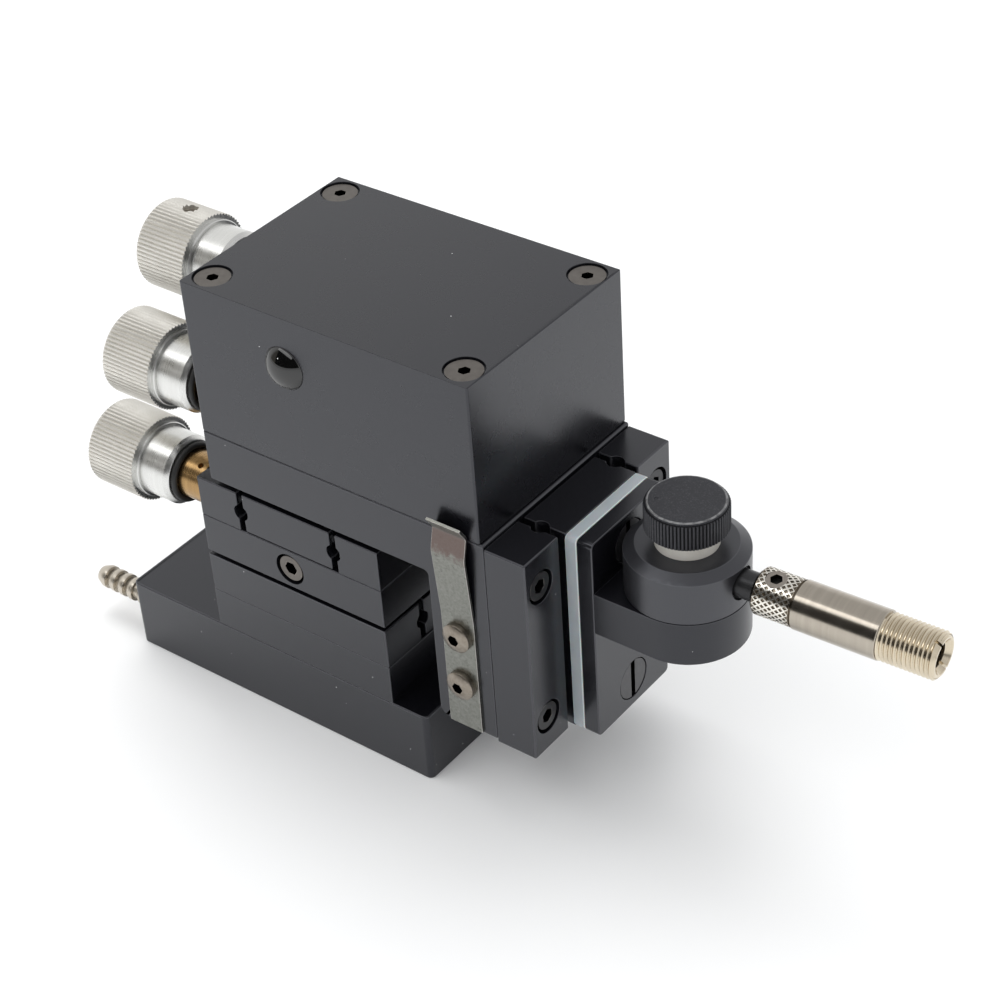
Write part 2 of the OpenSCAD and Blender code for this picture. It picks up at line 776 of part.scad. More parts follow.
module cover() {
    color("dimgray") difference() {
        translate([cover_back, -body_w / 2, cover_z]) cube([cover_l, body_w, cover_h]);
        difference() {
            translate([cover_back + cover_wall, -body_w / 2 + cover_wall, cover_z - cut])
                cube([cover_l - 2 * cover_wall, body_w - 2 * cover_wall,
                    cover_h - cover_wall + cut]);
            for (x = [cover_back, cover_front - post_w], y = [-body_w / 2, body_w / 2 - post_w])
                translate([x, y, cover_z]) cube([post_w, post_w, cover_h]);
        }
        cover_screw_places() {
            translate([0, 0, -cut]) cylinder(r = flat_screw_r, h = cover_h + 2 * cut);
            translate([0, 0, cover_h - sink - flat_h])
                cylinder(r1 = flat_screw_r, r2 = flat_r, h = flat_h);
            translate([0, 0, cover_h - flat_ring_d])
                cylinder(r = flat_r + flat_room, h = flat_ring_d + cut);
        }
        translate([cover_back, y_knob_y, y_knob_z]) bushing_hole(cover_shank_l, cover_reach + face_run);
        translate([cover_back, z_knob_y, z_knob_z]) bushing_hole(cover_shank_l, cover_reach + face_run);
        translate([cover_back + plug_x, -body_w / 2 - cut, cover_z + plug_z])
            rotate([-90, 0, 0]) cylinder(r = plug_shank_r, h = cover_wall + 2 * cut);
    }
}

module cover_screws() {
    color("dimgray") cover_screw_places() difference() {
        union() {
            translate([0, 0, cover_h - sink - flat_h])
                cylinder(r1 = flat_screw_r, r2 = flat_r, h = flat_h);
            translate([0, 0, -cover_grip])
                cylinder(r = flat_screw_r, h = cover_h + cover_grip - sink - flat_h / 2);
        }
        translate([0, 0, cover_h - sink]) hex_socket(small_hex, flat_h * socket_share);
    }
}

plug_shank_r = plug_r * 0.8;

module side_plug() {
    color("black") translate([cover_back + plug_x, -body_w / 2, cover_z + plug_z])
        rotate([90, 0, 0]) {
            dome(plug_r, plug_dome);
            translate([0, 0, -cover_wall]) cylinder(r = plug_shank_r, h = cover_wall);
        }
}

module y_bushing() { color("goldenrod") at_y_knob() bushing(y_knob_gap, cover_shank_l); }
module z_bushing() { color("goldenrod") at_z_knob() bushing(z_knob_gap, cover_shank_l); }

module z_rails() {
    color("dimgray") at_z_slide() slide_rails(body_w, body_w, deck_t, rail_screw_span);
}
module z_rail_screws() {
    color("black") at_z_slide() slide_rail_screws(body_w, deck_t, rail_screw_span);
}
module z_cages() { color("silver") at_z_slide() slide_cages(body_w, body_w, deck_t); }

// One side of a strip that follows path p, at distance s to its left, mitred at the bends
function strip_side(p, s) = [for (i = [0 : len(p) - 1])
    let (last = len(p) - 1, a = p[max(i, 1)] - p[max(i, 1) - 1],
        b = p[min(i + 1, last)] - p[min(i + 1, last) - 1], u = a / norm(a),
        m = (u + b / norm(b)) / norm(u + b / norm(b)))
    p[i] + s * [-m[1], m[0]] / (m * u)];

module strip(p, t) {
    back = strip_side(p, -t / 2);
    polygon(concat(strip_side(p, t / 2), [for (i = [len(p) - 1 : -1 : 0]) back[i]]));
}

module spring_clip() {
    p0 = [0, 0];
    p1 = [0, clip_flat];
    p2 = [-clip_out, clip_flat + clip_rise];
    p3 = [-clip_nip, p2[1] + clip_back];
    p4 = [-clip_flare, p3[1] + clip_lip];
    color("gray") difference() {
        translate([clip_x - clip_w / 2, -body_w / 2 - clip_t / 2, leg_low + clip_low])
            rotate([90, 0, 90]) linear_extrude(clip_w) strip([p0, p1, p2, p3, p4], clip_t);
        for (h = [clip_screw_low, clip_screw_high])
            translate([clip_x, -body_w / 2, leg_low + clip_low + h])
                rotate([90, 0, 0]) cylinder(r = screw_r, h = clip_t + 2 * cut, center = true);
    }
}

module clip_screws() {
    color("gray") for (h = [clip_screw_low, clip_screw_high])
        translate([clip_x, -body_w / 2 - clip_t, leg_low + clip_low + h])
            rotate([90, 0, 0]) difference() {
                union() {
                    cylinder(r = button_r, h = button_rim);
                    translate([0, 0, button_rim]) dome(button_r, button_h - button_rim);
                    translate([0, 0, -clip_t - clip_screw_l])
                        cylinder(r = screw_r, h = clip_screw_l + clip_t + button_h / 2);
                }
                translate([0, 0, button_h]) hex_socket(small_hex, button_h * socket_share);
            }
}

module y_thimble() { color("silver") at_y_knob() thimble(y_grub_turn); }
module y_grub() { color("gray") at_y_knob() grub(y_grub_turn); }
module y_barrel() { color("lightgray") at_y_knob() barrel(); }
module y_o_ring() { color("black") at_y_knob() o_ring(); }
module y_spindle() { color("gray") at_y_knob() spindle(y_knob_gap, cover_reach); }
module z_thimble() { color("silver") at_z_knob() thimble(z_grub_turn); }
module z_grub() { color("gray") at_z_knob() grub(z_grub_turn); }
module z_barrel() { color("lightgray") at_z_knob() barrel(); }
module z_o_ring() { color("black") at_z_knob() o_ring(); }
module z_spindle() { color("gray") at_z_knob() spindle(z_knob_gap, cover_reach); }

// Moving along Z

slotted_grip = 5;
slotted_room = 0.2;
face_edge_r = 1;
arm_hole_r = thumb_screw_r + run;
arm_screw_y = face_w / 4;
arm_flat_h = flat_h * 0.8;

module face_outline() { round_rect(face_h, face_w, face_edge_r); }

module face_screw_places() {
    for (s = [-1, 1]) translate([plate_front, 0, face_mid_z + s * face_screw_span / 2])
        rotate([0, 90, 0]) children();
}

module arm_screw_places() {
    for (s = [-1, 1]) translate([plate_back, s * arm_screw_y, arm_low + arm_t / 2])
        rotate([0, 90, 0]) children();
}

module z_carriage() {
    color("dimgray") difference() {
        at_z_slide() slide_block(body_w, body_w, deck_t, face_proud, true);
        face_screw_places() translate([0, 0, -face_t - insulator_t - slotted_grip])
            cylinder(r = slotted_screw_r, h = slotted_grip + cut);
    }
}

module insulator() {
    color("white") difference() {
        translate([face_back, 0, face_mid_z]) rotate([0, 90, 0])
            linear_extrude(insulator_t) face_outline();
        face_screw_places() translate([0, 0, -face_t - insulator_t - cut])
            cylinder(r = slotted_screw_r, h = insulator_t + 2 * cut);
    }
}

module face_plate() {
    color("dimgray") difference() {
        translate([plate_back, 0, face_mid_z]) rotate([0, 90, 0])
            linear_extrude(face_t) face_outline();
        face_screw_places() {
            translate([0, 0, -face_t - cut]) cylinder(r = slotted_screw_r, h = face_t + cut);
            translate([0, 0, -slotted_h]) cylinder(r = slotted_r + slotted_room, h = slotted_h + cut);
        }
        arm_screw_places() {
            translate([0, 0, -cut]) cylinder(r = screw_r, h = face_t + 2 * cut);
            cylinder(r1 = screw_r + arm_flat_h, r2 = screw_r, h = arm_flat_h);
        }
    }
}

module plate_screws() {
    color("black") face_screw_places() difference() {
        union() {
            translate([0, 0, -slotted_h]) cylinder(r = slotted_r, h = slotted_h - face_run);
            translate([0, 0, -face_t - insulator_t - slotted_grip])
                cylinder(r = slotted_screw_r, h = slotted_grip + insulator_t + face_t / 2);
        }
        translate([-slotted_r - cut, -slot_w / 2, -slotted_h / 2])
            cube([2 * slotted_r + 2 * cut, slot_w, slotted_h]);
    }
}

module arm() {
    color("dimgray") difference() {
        union() {
            translate([plate_front, -face_w / 2, arm_low])
                cube([arm_reach, face_w, arm_t]);
            translate([swivel_x, 0, arm_low]) cylinder(r = face_w / 2, h = arm_t);
        }
        translate([swivel_x, 0, arm_low - cut]) cylinder(r = arm_hole_r, h = arm_t + 2 * cut);
        arm_screw_places() cylinder(r = screw_r, h = face_t + grip);
    }
}

module arm_screws() {
    color("black") arm_screw_places() difference() {
        union() {
            cylinder(r1 = screw_r + arm_flat_h, r2 = screw_r, h = arm_flat_h);
            cylinder(r = screw_r, h = face_t + grip);
        }
        rotate([180, 0, 0]) hex_socket(screw_r, arm_flat_h / 2);
    }
}

// Swivel, thumb knob and holder

stub_in = 5;
stub_mouth_r = stub_r + 0.5;
stub_mouth_d = 1.2;
holder_bore_l = 5.5;

module at_swivel() { translate([swivel_x, 0, 0]) rotate([0, 0, swivel_set]) children(); }
module at_holder() { at_swivel() translate([holder_from, 0, holder_z]) children(); }

module swivel_disc() {
    color("dimgray") at_swivel() difference() {
        rotate_extrude() polygon([[0, disc_z], [disc_r, disc_z],
            [disc_r, disc_top - disc_slope_h], [disc_r - disc_slope_w, disc_top],
            [0, disc_top]]);
        translate([0, 0, disc_z - cut])
            cylinder(r = thumb_screw_r + run, h = disc_h + 2 * cut);
        translate([stub_in, 0, holder_z]) rotate([0, 90, 0])
            cylinder(r = stub_r, h = disc_r);
        translate([disc_r - stub_mouth_d, 0, holder_z]) rotate([0, 90, 0])
            cylinder(r = stub_mouth_r, h = disc_r);
    }
}

module stub_pin() {
    color("black") at_swivel() translate([stub_in, 0, holder_z]) rotate([0, 90, 0])
        cylinder(r = stub_r, h = holder_from + holder_bore_l - run - stub_in);
}

module slip_washer() {
    color("linen") at_swivel() difference() {
        translate([0, 0, disc_top]) cylinder(r = washer_r, h = washer_t);
        translate([0, 0, disc_top - cut])
            cylinder(r = thumb_screw_r + run, h = washer_t + 2 * cut);
    }
}

thumb_edge = 0.7;
thumb_foot = 0.2;
thumb_hold = 3.2;
thumb_dot_r = 0.5;
thumb_dot_d = 0.15;
thumb_dot_x = 5.1;
thumb_dot_turn = -150;

module thumb_knob() {
    color("black") difference() {
        intersection() {
            translate([swivel_x, 0, thumb_z])
                linear_extrude(thumb_h) rib_star(thumb_r, thumb_rib_d, thumb_ribs);
            translate([swivel_x, 0, thumb_z]) rotate_extrude()
                polygon([[0, 0], [thumb_r - thumb_foot, 0],
                    [thumb_r + cut, thumb_foot + cut],
                    [thumb_r + cut, thumb_h - thumb_edge - cut],
                    [thumb_r - thumb_edge, thumb_h], [0, thumb_h]]);
        }
        translate([swivel_x, 0, thumb_z - cut])
            cylinder(r = thumb_screw_r, h = thumb_hold + cut);
        translate([swivel_x, 0, thumb_z + thumb_h - thumb_dot_d])
            rotate([0, 0, thumb_dot_turn]) translate([thumb_dot_x, 0, 0])
            cylinder(r = thumb_dot_r, h = cut);
    }
}

module thumb_screw() {
    color("gray") translate([swivel_x, 0, arm_low])
        cylinder(r = thumb_screw_r, h = thumb_z + thumb_hold - arm_low);
}

// The holder's profile: distance ahead of its rear, and radius
module probe_holder() {
    l = sleeve_l + smooth_l + thread_l;
    turns = floor((thread_l - sleeve_edge) / thread_pitch) - 1;
    t0 = sleeve_l + smooth_l;
    color("silver") at_holder() rotate([holder_roll, 0, 0]) difference() {
        rotate([0, 90, 0]) rotate_extrude() polygon(concat(
            [[0, 0], [sleeve_r - sleeve_edge, 0], [sleeve_r, sleeve_edge],
                [sleeve_r, sleeve_l - groove_w], [sleeve_r - groove_d, sleeve_l - groove_w],
                [sleeve_r - groove_d, sleeve_l], [smooth_r, sleeve_l], [smooth_r, t0]],
            [for (i = [0 : turns - 1], k = [0 : 1])
                [thread_r - (k == 0 ? thread_d : 0), t0 + (i + k / 2) * thread_pitch]],
            [[thread_r - thread_d, t0 + turns * thread_pitch],
                [thread_r - sleeve_edge, l], [0, l]]));
        // bore for the pin, and the bore for the probe
        translate([-cut, 0, 0]) rotate([0, 90, 0])
            cylinder(r = stub_r + run, h = holder_bore_l + cut);
        translate([l - probe_depth, 0, 0]) rotate([0, 90, 0])
            cylinder(r = probe_r, h = probe_depth + cut);
        translate([l - mouth_l, 0, 0]) rotate([0, 90, 0])
            cylinder(r1 = probe_r, r2 = thread_r - sleeve_edge - mouth_rim, h = mouth_l);
        translate([holder_screw_at, 0, 0])
            cylinder(r = holder_screw_r, h = sleeve_r + cut);
        rotate([end_slot_turn, 0, 0])
            translate([l - end_slot_d, -end_slot_w / 2, -thread_r - cut])
            cube([end_slot_d + cut, end_slot_w, 2 * thread_r + 2 * cut]);
    }
}

sleeve_edge = 0.7;
groove_w = 0.35;
groove_d = 0.35;
holder_roll = 10;
holder_screw_at = 3.4;
holder_screw_sink = 0.15;
end_slot_turn = 11;
mouth_l = 1;            // countersunk mouth of the probe bore
mouth_rim = 0.4;

module holder_screw() {
    color("black") at_holder() rotate([holder_roll, 0, 0])
        translate([holder_screw_at, 0, 0]) difference() {
            translate([0, 0, stub_r + run])
                cylinder(r = holder_screw_r, h = sleeve_r - holder_screw_sink - stub_r - run);
            translate([0, 0, sleeve_r - holder_screw_sink]) hex_socket(small_hex, small_hex / 2);
        }
}

base_block();
hose_barb();
base_screws();
deck_plate();
x_rails();
x_rail_screws();
x_cages();
x_carriage();
x_plate();
x_plate_screws();
lock_screw();
y_rails();
y_rail_screws();
y_cages();
x_bushing();
x_thimble();
x_barrel();
x_o_ring();
x_spindle();
x_grub();
y_carriage();
bracket();
bracket_screws();
cover();
cover_screws();
side_plug();
y_bushing();
z_bushing();
z_rails();
z_rail_screws();
z_cages();
spring_clip();
clip_screws();
y_thimble();
y_barrel();
y_o_ring();
y_spindle();
y_grub();
z_thimble();
z_barrel();
z_o_ring();
z_spindle();
z_grub();
z_carriage();
insulator();
face_plate();
plate_screws();
arm();
arm_screws();
swivel_disc();
stub_pin();
slip_washer();
thumb_knob();
thumb_screw();
probe_holder();
holder_screw();
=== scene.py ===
"""Finishes the micromanipulator: bevelled black plates, ribbed knobs, knurled and threaded probe
holder, bent lead clip, with the metals, plastics and studio around them. Metres throughout."""

import json
import math
from itertools import combinations

import bpy
from mathutils import Matrix, Vector
from mathutils.bvhtree import BVHTree


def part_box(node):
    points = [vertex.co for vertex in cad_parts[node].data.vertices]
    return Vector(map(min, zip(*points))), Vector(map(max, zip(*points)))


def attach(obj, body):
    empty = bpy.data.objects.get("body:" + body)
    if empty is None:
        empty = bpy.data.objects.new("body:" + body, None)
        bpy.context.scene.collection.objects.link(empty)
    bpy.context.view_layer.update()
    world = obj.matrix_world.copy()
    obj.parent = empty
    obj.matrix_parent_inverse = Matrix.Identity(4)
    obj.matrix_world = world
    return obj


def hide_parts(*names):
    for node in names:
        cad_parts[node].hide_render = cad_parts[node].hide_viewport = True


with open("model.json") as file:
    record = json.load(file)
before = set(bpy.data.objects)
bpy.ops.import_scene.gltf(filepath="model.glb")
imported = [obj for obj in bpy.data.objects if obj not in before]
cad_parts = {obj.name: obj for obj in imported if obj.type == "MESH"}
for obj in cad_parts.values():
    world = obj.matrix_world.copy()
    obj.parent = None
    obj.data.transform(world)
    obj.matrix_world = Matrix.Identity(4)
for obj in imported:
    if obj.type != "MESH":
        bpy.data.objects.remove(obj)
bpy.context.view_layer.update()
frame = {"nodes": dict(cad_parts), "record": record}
nodes = frame["nodes"]
MM = 0.001
for spare in ("Cube", "Light", "Camera"):
    if spare in bpy.data.objects:
        bpy.data.objects.remove(bpy.data.objects[spare])


# Working by hand: one piece at a time, picked in code


def object_mode():
    if bpy.context.object and bpy.context.object.mode != "OBJECT":
        bpy.ops.object.mode_set(mode="OBJECT")


def clear_selection():
    object_mode()
    bpy.ops.object.select_all(action="DESELECT")


def only(piece):
    clear_selection()
    piece.select_set(True)
    bpy.context.view_layer.objects.active = piece


def edit(piece, mode="FACE"):
    only(piece)
    bpy.ops.object.mode_set(mode="EDIT")
    bpy.ops.mesh.select_mode(type=mode)


def pick(piece, kind, test):
    """Selects the faces, edges or vertices that pass the test and stays in edit mode."""
    only(piece)
    mesh = piece.data
    for group in (mesh.vertices, mesh.edges, mesh.polygons):
        for item in group:
            item.select = False
    if kind == "FACE":
        for face in mesh.polygons:
            face.select = test(face.center, face.normal)
    elif kind == "VERT":
        for vert in mesh.vertices:
            vert.select = test(vert.co)
    else:
        for edge in mesh.edges:
            a, b = (mesh.vertices[i].co for i in edge.vertices)
            edge.select = test(a, b)
    bpy.ops.object.mode_set(mode="EDIT")
    bpy.ops.mesh.select_mode(type=kind)


def finish_mesh(piece, angle=35):
    """Back in object mode with place, turn and size in the mesh, smooth but for its edges."""
    only(piece)
    bpy.ops.object.transform_apply(location=True, rotation=True, scale=True)
    bpy.ops.object.shade_smooth_by_angle(angle=math.radians(angle))
    level = piece.modifiers.new("flat_faces", "WEIGHTED_NORMAL")
    level.mode = "FACE_AREA"
    level.weight = 50
    level.keep_sharp = True
    bpy.ops.object.modifier_apply(modifier=level.name)


def apply_modifier(piece, modifier):
    only(piece)
    bpy.ops.object.modifier_apply(modifier=modifier.name)


def outward(piece):
    edit(piece)
    bpy.ops.mesh.select_all(action="SELECT")
    bpy.ops.mesh.normals_make_consistent(inside=False)
    object_mode()


SHORT = 1.2 * MM  # a chain with no edge longer than this is a rim
CHAIN_TURN = math.radians(35)  # a chain ends where it turns more than this
FULL = 0.92  # share of the room between two corners or chains that roundings may fill
GIVEN = 0.9  # share that they get where they would fill more
ROUNDS = 60  # passes in which the widths settle


def inner_angle(face, a, b, c):
    """The angle inside a face at its corner b, between the corners a and c."""
    before, after = a - b, c - b
    open_angle = before.angle(after, math.pi)
    return open_angle if after.cross(before).dot(face.normal) >= 0 else 2 * math.pi - open_angle


def clearance(points, ends, pairs, limit):
    """The least distance from some points to some edges, when it is under the limit."""
    least = limit
    for end in ends:
        p = points[end]
        for a, b in pairs:
            a, b = points[a], points[b]
            if any(
                p[i] < min(a[i], b[i]) - least or p[i] > max(a[i], b[i]) + least for i in range(3)
            ):
                continue
            along = b - a
            share = max(0, min(1, (p - a).dot(along) / along.length_squared))
            least = min(least, (p - a - share * along).length)
    return least


def edge_chains(points, sharp):
    """Sorts sharp edges into chains that run on smoothly, and numbers each edge by its chain."""
    at_point = {}
    for key in sharp:
        for end in key:
            at_point.setdefault(end, []).append(key)
    chain_of, chains = {}, []
    for seed in sorted(sharp):
        if seed in chain_of:
            continue
        chain_of[seed] = len(chains)
        members, waiting = [], [seed]
        while waiting:
            key = waiting.pop()
            members.append(key)
            for end in key:
                others = [k for k in at_point[end] if k != key]
                if len(others) != 1 or others[0] in chain_of:
                    continue
                far = [next(p for p in k if p != end) for k in (key, others[0])]
                turn = (points[end] - points[far[0]]).angle(points[far[1]] - points[end], 0)
                if turn < CHAIN_TURN:
                    chain_of[others[0]] = len(chains)
                    waiting.append(others[0])
        chains.append(members)
    return chain_of, chains


def chain_gaps(face, points, chain_of, width):
    """How near the chains round a face come to one another, and to its plain edges."""
    on_face, between, alone = {}, {}, {}
    for key in face.edge_keys:
        on_face.setdefault(chain_of.get(key, -1), []).append(key)
    plain = on_face.pop(-1, [])
    ends = {chain: {end for key in members for end in key} for chain, members in on_face.items()}
    for key in plain:
        for chain, members in on_face.items():
            if not ends[chain] & set(key):
                gap = clearance(points, ends[chain], [key], width)
                gap = min(gap, clearance(points, key, members, gap))
                alone[chain] = min(gap, alone.get(chain, gap))
    for one, other in combinations(sorted(on_face), 2):
        if not ends[one] & ends[other]:
            between[one, other] = min(
                clearance(points, ends[one], on_face[other], 1.5 * width),
                clearance(points, ends[other], on_face[one], 1.5 * width),
            )
    return between, alone


def face_corners(face, points, chain_of, span):
    """For each edge of a face: the chains before, on and after it, its length, its two corners."""
    loop = list(face.vertices)
    count = len(loop)
    keys = [tuple(sorted((loop[i], loop[(i + 1) % count]))) for i in range(count)]
    turns = [
        inner_angle(face, points[loop[i - 1]], points[loop[i]], points[loop[(i + 1) % count]])
        for i in range(count)
    ]
    corners = []
    for i in range(count):
        around = [chain_of.get(keys[n]) for n in (i - 1, i, (i + 1) % count)]
        if any(chain is not None for chain in around):
            corners.append((around, span[keys[i]], turns[i], turns[(i + 1) % count]))
    return corners


def length_taken(before, own, after, first, last):
    """How much of an edge its own rounding and its neighbours' take up at its two corners."""
    taken = 0
    for other, corner in ((before, first), (after, last)):
        if abs(math.sin(corner)) > 0.17 or (corner < 0.5 and (other == 0 or own == 0)):
            taken += (other + own * math.cos(corner)) / math.sin(max(corner, 0.01))
        elif corner > 0.5:
            taken += min(other, own) / math.tan(corner / 2)
    return taken


def edge_widths(mesh, width, rim, angle):
    """How far each sharp edge can be rounded before it runs into its neighbours. Edges that follow
    each other smoothly share one width, and chains of short ones, like rims, keep to rim."""
    points = [v.co.copy() for v in mesh.vertices]
    beside = {}
    for face in mesh.polygons:
        for key in face.edge_keys:
            beside.setdefault(key, []).append(face.normal)
    sharp = {
        key for key, normals in beside.items()
        if len(normals) == 2 and normals[0].angle(normals[1], 0) > math.radians(angle)
    }
    chain_of, chains = edge_chains(points, sharp)
    span = {key: (points[key[0]] - points[key[1]]).length for key in beside}
    wide = [rim if all(span[key] < SHORT for key in members) else width for members in chains]
    corners, gaps = [], {}
    for face in mesh.polygons:
        between, alone = chain_gaps(face, points, chain_of, width)
        for chain, gap in alone.items():
            wide[chain] = min(wide[chain], GIVEN * gap)
        for pair, gap in between.items():
            gaps[pair] = min(gap, gaps.get(pair, gap))
        corners += face_corners(face, points, chain_of, span)
    for _ in range(ROUNDS):
        settled = True
        for (one, other), gap in gaps.items():
            if wide[one] + wide[other] > FULL * gap:
                share = GIVEN * gap / (wide[one] + wide[other])
                wide[one], wide[other], settled = wide[one] * share, wide[other] * share, False
        for around, reach, first, last in corners:
            taken = length_taken(*(0 if c is None else wide[c] for c in around), first, last)
            if taken > FULL * reach:
                settled = False
                for chain in {c for c in around if c is not None}:
                    wide[chain] *= max(0.5, GIVEN * reach / taken)
        if settled:
            break
    return {key: wide[chain] for key, chain in chain_of.items()}


def bevel_edges(piece, width, steps=2, angle=40, rim=None):
    """Rounds every sharp edge; the new faces carry the value 1 in the attribute edge."""
    while len(piece.data.materials) < 2:
        piece.data.materials.append(None)
    for face in piece.data.polygons:
        face.material_index = 0
    widths = edge_widths(piece.data, width, min(width, rim or 0.1 * MM), angle)
    shares = [widths.get(tuple(sorted(edge.vertices)), 0) / width for edge in piece.data.edges]
    weights = piece.data.attributes.new("bevel_weight_edge", "FLOAT", "EDGE")
    weights.data.foreach_set("value", shares)
    bevel = piece.modifiers.new("edge_round", "BEVEL")
    bevel.width = width
    bevel.segments = steps
    bevel.limit_method = "WEIGHT"
    bevel.use_clamp_overlap = False
    bevel.material = 1
    apply_modifier(piece, bevel)
    faces = [1.0 if face.material_index == 1 else 0.0 for face in piece.data.polygons]
    piece.data.attributes.new("edge", "FLOAT", "FACE").data.foreach_set("value", faces)
    for face in piece.data.polygons:
        face.material_index = 0
    piece.data.materials.clear()


def mark_recesses(piece, looks=8, reach=3 * MM):
    """Gives each face, in the attribute recess, how much of its view is closed by the piece."""
    mesh = piece.data
    tree = BVHTree.FromPolygons(
        [v.co for v in mesh.vertices], [tuple(face.vertices) for face in mesh.polygons]
    )
    closed = []
    for face in mesh.polygons:
        side = face.normal.orthogonal().normalized()
        start = face.center + face.normal * 0.01 * MM
        hits = 0
        for i in range(looks):
            way = side.copy()
            way.rotate(Matrix.Rotation(i * 2 * math.pi / looks, 3, face.normal))
            way = (way * 0.8 + face.normal * 0.6).normalized()
            hits += tree.ray_cast(start, way, reach)[0] is not None
        closed.append(hits / looks)
    mesh.attributes.new("recess", "FLOAT", "FACE").data.foreach_set("value", closed)


def dress(node, width, material, steps=2, angle=40, rim=None):
    """A copy of a node's solid with its edges rounded, which stands for the node."""
    piece = bpy.data.objects.new(node + "_finished", nodes[node].data.copy())
    bpy.context.scene.collection.objects.link(piece)
    edit(piece)
    bpy.ops.mesh.select_all(action="SELECT")
    bpy.ops.mesh.remove_doubles(threshold=0.002 * MM)
    bpy.ops.mesh.quads_convert_to_tris(quad_method="BEAUTY", ngon_method="BEAUTY")
    bpy.ops.mesh.beautify_fill(angle_limit=math.radians(0.4))
    bpy.ops.mesh.dissolve_limited(angle_limit=math.radians(0.4))
    object_mode()
    if piece.data.has_custom_normals:
        bpy.ops.mesh.customdata_custom_splitnormals_clear()
    bevel_edges(piece, width, steps, angle, rim)
    if "screw" in node:
        mark_recesses(piece)
    finish_mesh(piece, min(35, angle))
    settle(piece, material, node)
    return piece


body_of = {
    node: body
    for body, members in frame["record"]["behaviour"]["bodies"].items()
    for node in members
}


def settle(piece, material, *replaced, like=None):
    """Gives a piece its finish and its body, and hides the nodes that it stands for."""
    source = like or replaced[0]
    if material:
        piece.data.materials.clear()
        piece.data.materials.append(material)
    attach(piece, body_of[source])
    if replaced:
        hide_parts(*replaced)


def carve(piece, cutter, operation="DIFFERENCE"):
    cut = piece.modifiers.new("cut", "BOOLEAN")
    cut.operation = operation
    cut.solver = "EXACT"
    cut.object = cutter
    apply_modifier(piece, cut)
    bpy.data.objects.remove(cutter)


def rod(radius, length, start, axis="X", sides=64):
    """A cylinder that begins at start and runs along an axis, used for cutting."""
    turn = {"X": (0, math.pi / 2, 0), "Y": (-math.pi / 2, 0, 0), "Z": (0, 0, 0)}[axis]
    way = {"X": Vector((1, 0, 0)), "Y": Vector((0, 1, 0)), "Z": Vector((0, 0, 1))}[axis]
    clear_selection()
    bpy.ops.mesh.primitive_cylinder_add(
        vertices=sides,
        radius=radius,
        depth=length,
        location=Vector(start) + way * length / 2,
        rotation=turn,
    )
    piece = bpy.context.object
    bpy.ops.object.transform_apply(location=True, rotation=True, scale=True)
    return piece


def turned(name, outline, sides=96):
    """Spins an outline of (distance along X, radius) points round the X axis."""
    clear_selection()
    bpy.ops.mesh.primitive_plane_add(size=1 * MM)
    piece = bpy.context.object
    piece.name = piece.data.name = name
    bpy.ops.object.mode_set(mode="EDIT")
    bpy.ops.mesh.select_mode(type="VERT")
    bpy.ops.mesh.select_all(action="SELECT")
    bpy.ops.mesh.merge(type="CENTER")
    bpy.ops.transform.translate(value=(outline[0][0], 0, outline[0][1]))
    for a, b in zip(outline, outline[1:]):
        bpy.ops.mesh.extrude_region_move(
            TRANSFORM_OT_translate={"value": (b[0] - a[0], 0, b[1] - a[1])}
        )
    bpy.ops.mesh.select_all(action="SELECT")
    bpy.ops.mesh.spin(
        steps=sides, angle=2 * math.pi, center=(0, 0, 0), axis=(1, 0, 0), use_auto_merge=True
    )
    bpy.ops.mesh.select_all(action="SELECT")
    bpy.ops.mesh.remove_doubles(threshold=0.001 * MM)
    bpy.ops.mesh.normals_make_consistent(inside=False)
    object_mode()
    return piece


# Shader effects shared by the materials


def add(tree, kind, **settings):
    node = tree.nodes.new("ShaderNode" + kind)
    for key, value in settings.items():
        setattr(node, key, value)
    return node


def feed(tree, socket, value):
    if isinstance(value, bpy.types.NodeSocket):
        tree.links.new(value, socket)
    else:
        socket.default_value = value


def maths(tree, operation, a, b=0.0, clamp=False):
    node = add(tree, "Math", operation=operation, use_clamp=clamp)
    feed(tree, node.inputs[0], a)
    feed(tree, node.inputs[1], b)
    return node.outputs[0]


def spread(tree, value, low, high, to_low=0.0, to_high=1.0):
    node = add(tree, "MapRange")
    for socket, v in zip(node.inputs[:5], (value, low, high, to_low, to_high)):
        feed(tree, socket, v)
    return node.outputs[0]


def noise(tree, vector, scale, detail=3.0, rough=0.5, **settings):
    node = add(tree, "TexNoise", **settings)
    if vector is not None:
        feed(tree, node.inputs["Vector"], vector)
    feed(tree, node.inputs["Scale"], scale)
    node.inputs["Detail"].default_value = detail
    node.inputs["Roughness"].default_value = rough
    return node.outputs["Fac"]


def blend_colours(tree, factor, a, b):
    node = add(tree, "Mix", data_type="RGBA")
    feed(tree, node.inputs[0], factor)
    feed(tree, node.inputs[6], a)
    feed(tree, node.inputs[7], b)
    return node.outputs[2]


def effect(name, inputs, outputs):
    tree = bpy.data.node_groups.new(name, "ShaderNodeTree")
    for key, kind, value in inputs:
        socket = tree.interface.new_socket(
            name=key, in_out="INPUT", socket_type="NodeSocket" + kind
        )
        if value is not None:
            socket.default_value = value
    for key, kind in outputs:
        tree.interface.new_socket(name=key, in_out="OUTPUT", socket_type="NodeSocket" + kind)
    return tree, tree.nodes.new("NodeGroupInput").outputs, tree.nodes.new("NodeGroupOutput").inputs


def place(tree, group, **values):
    node = tree.nodes.new("ShaderNodeGroup")
    node.node_tree = group
    for key, value in values.items():
        feed(tree, node.inputs[key.replace("_", " ")], value)
    return node.outputs


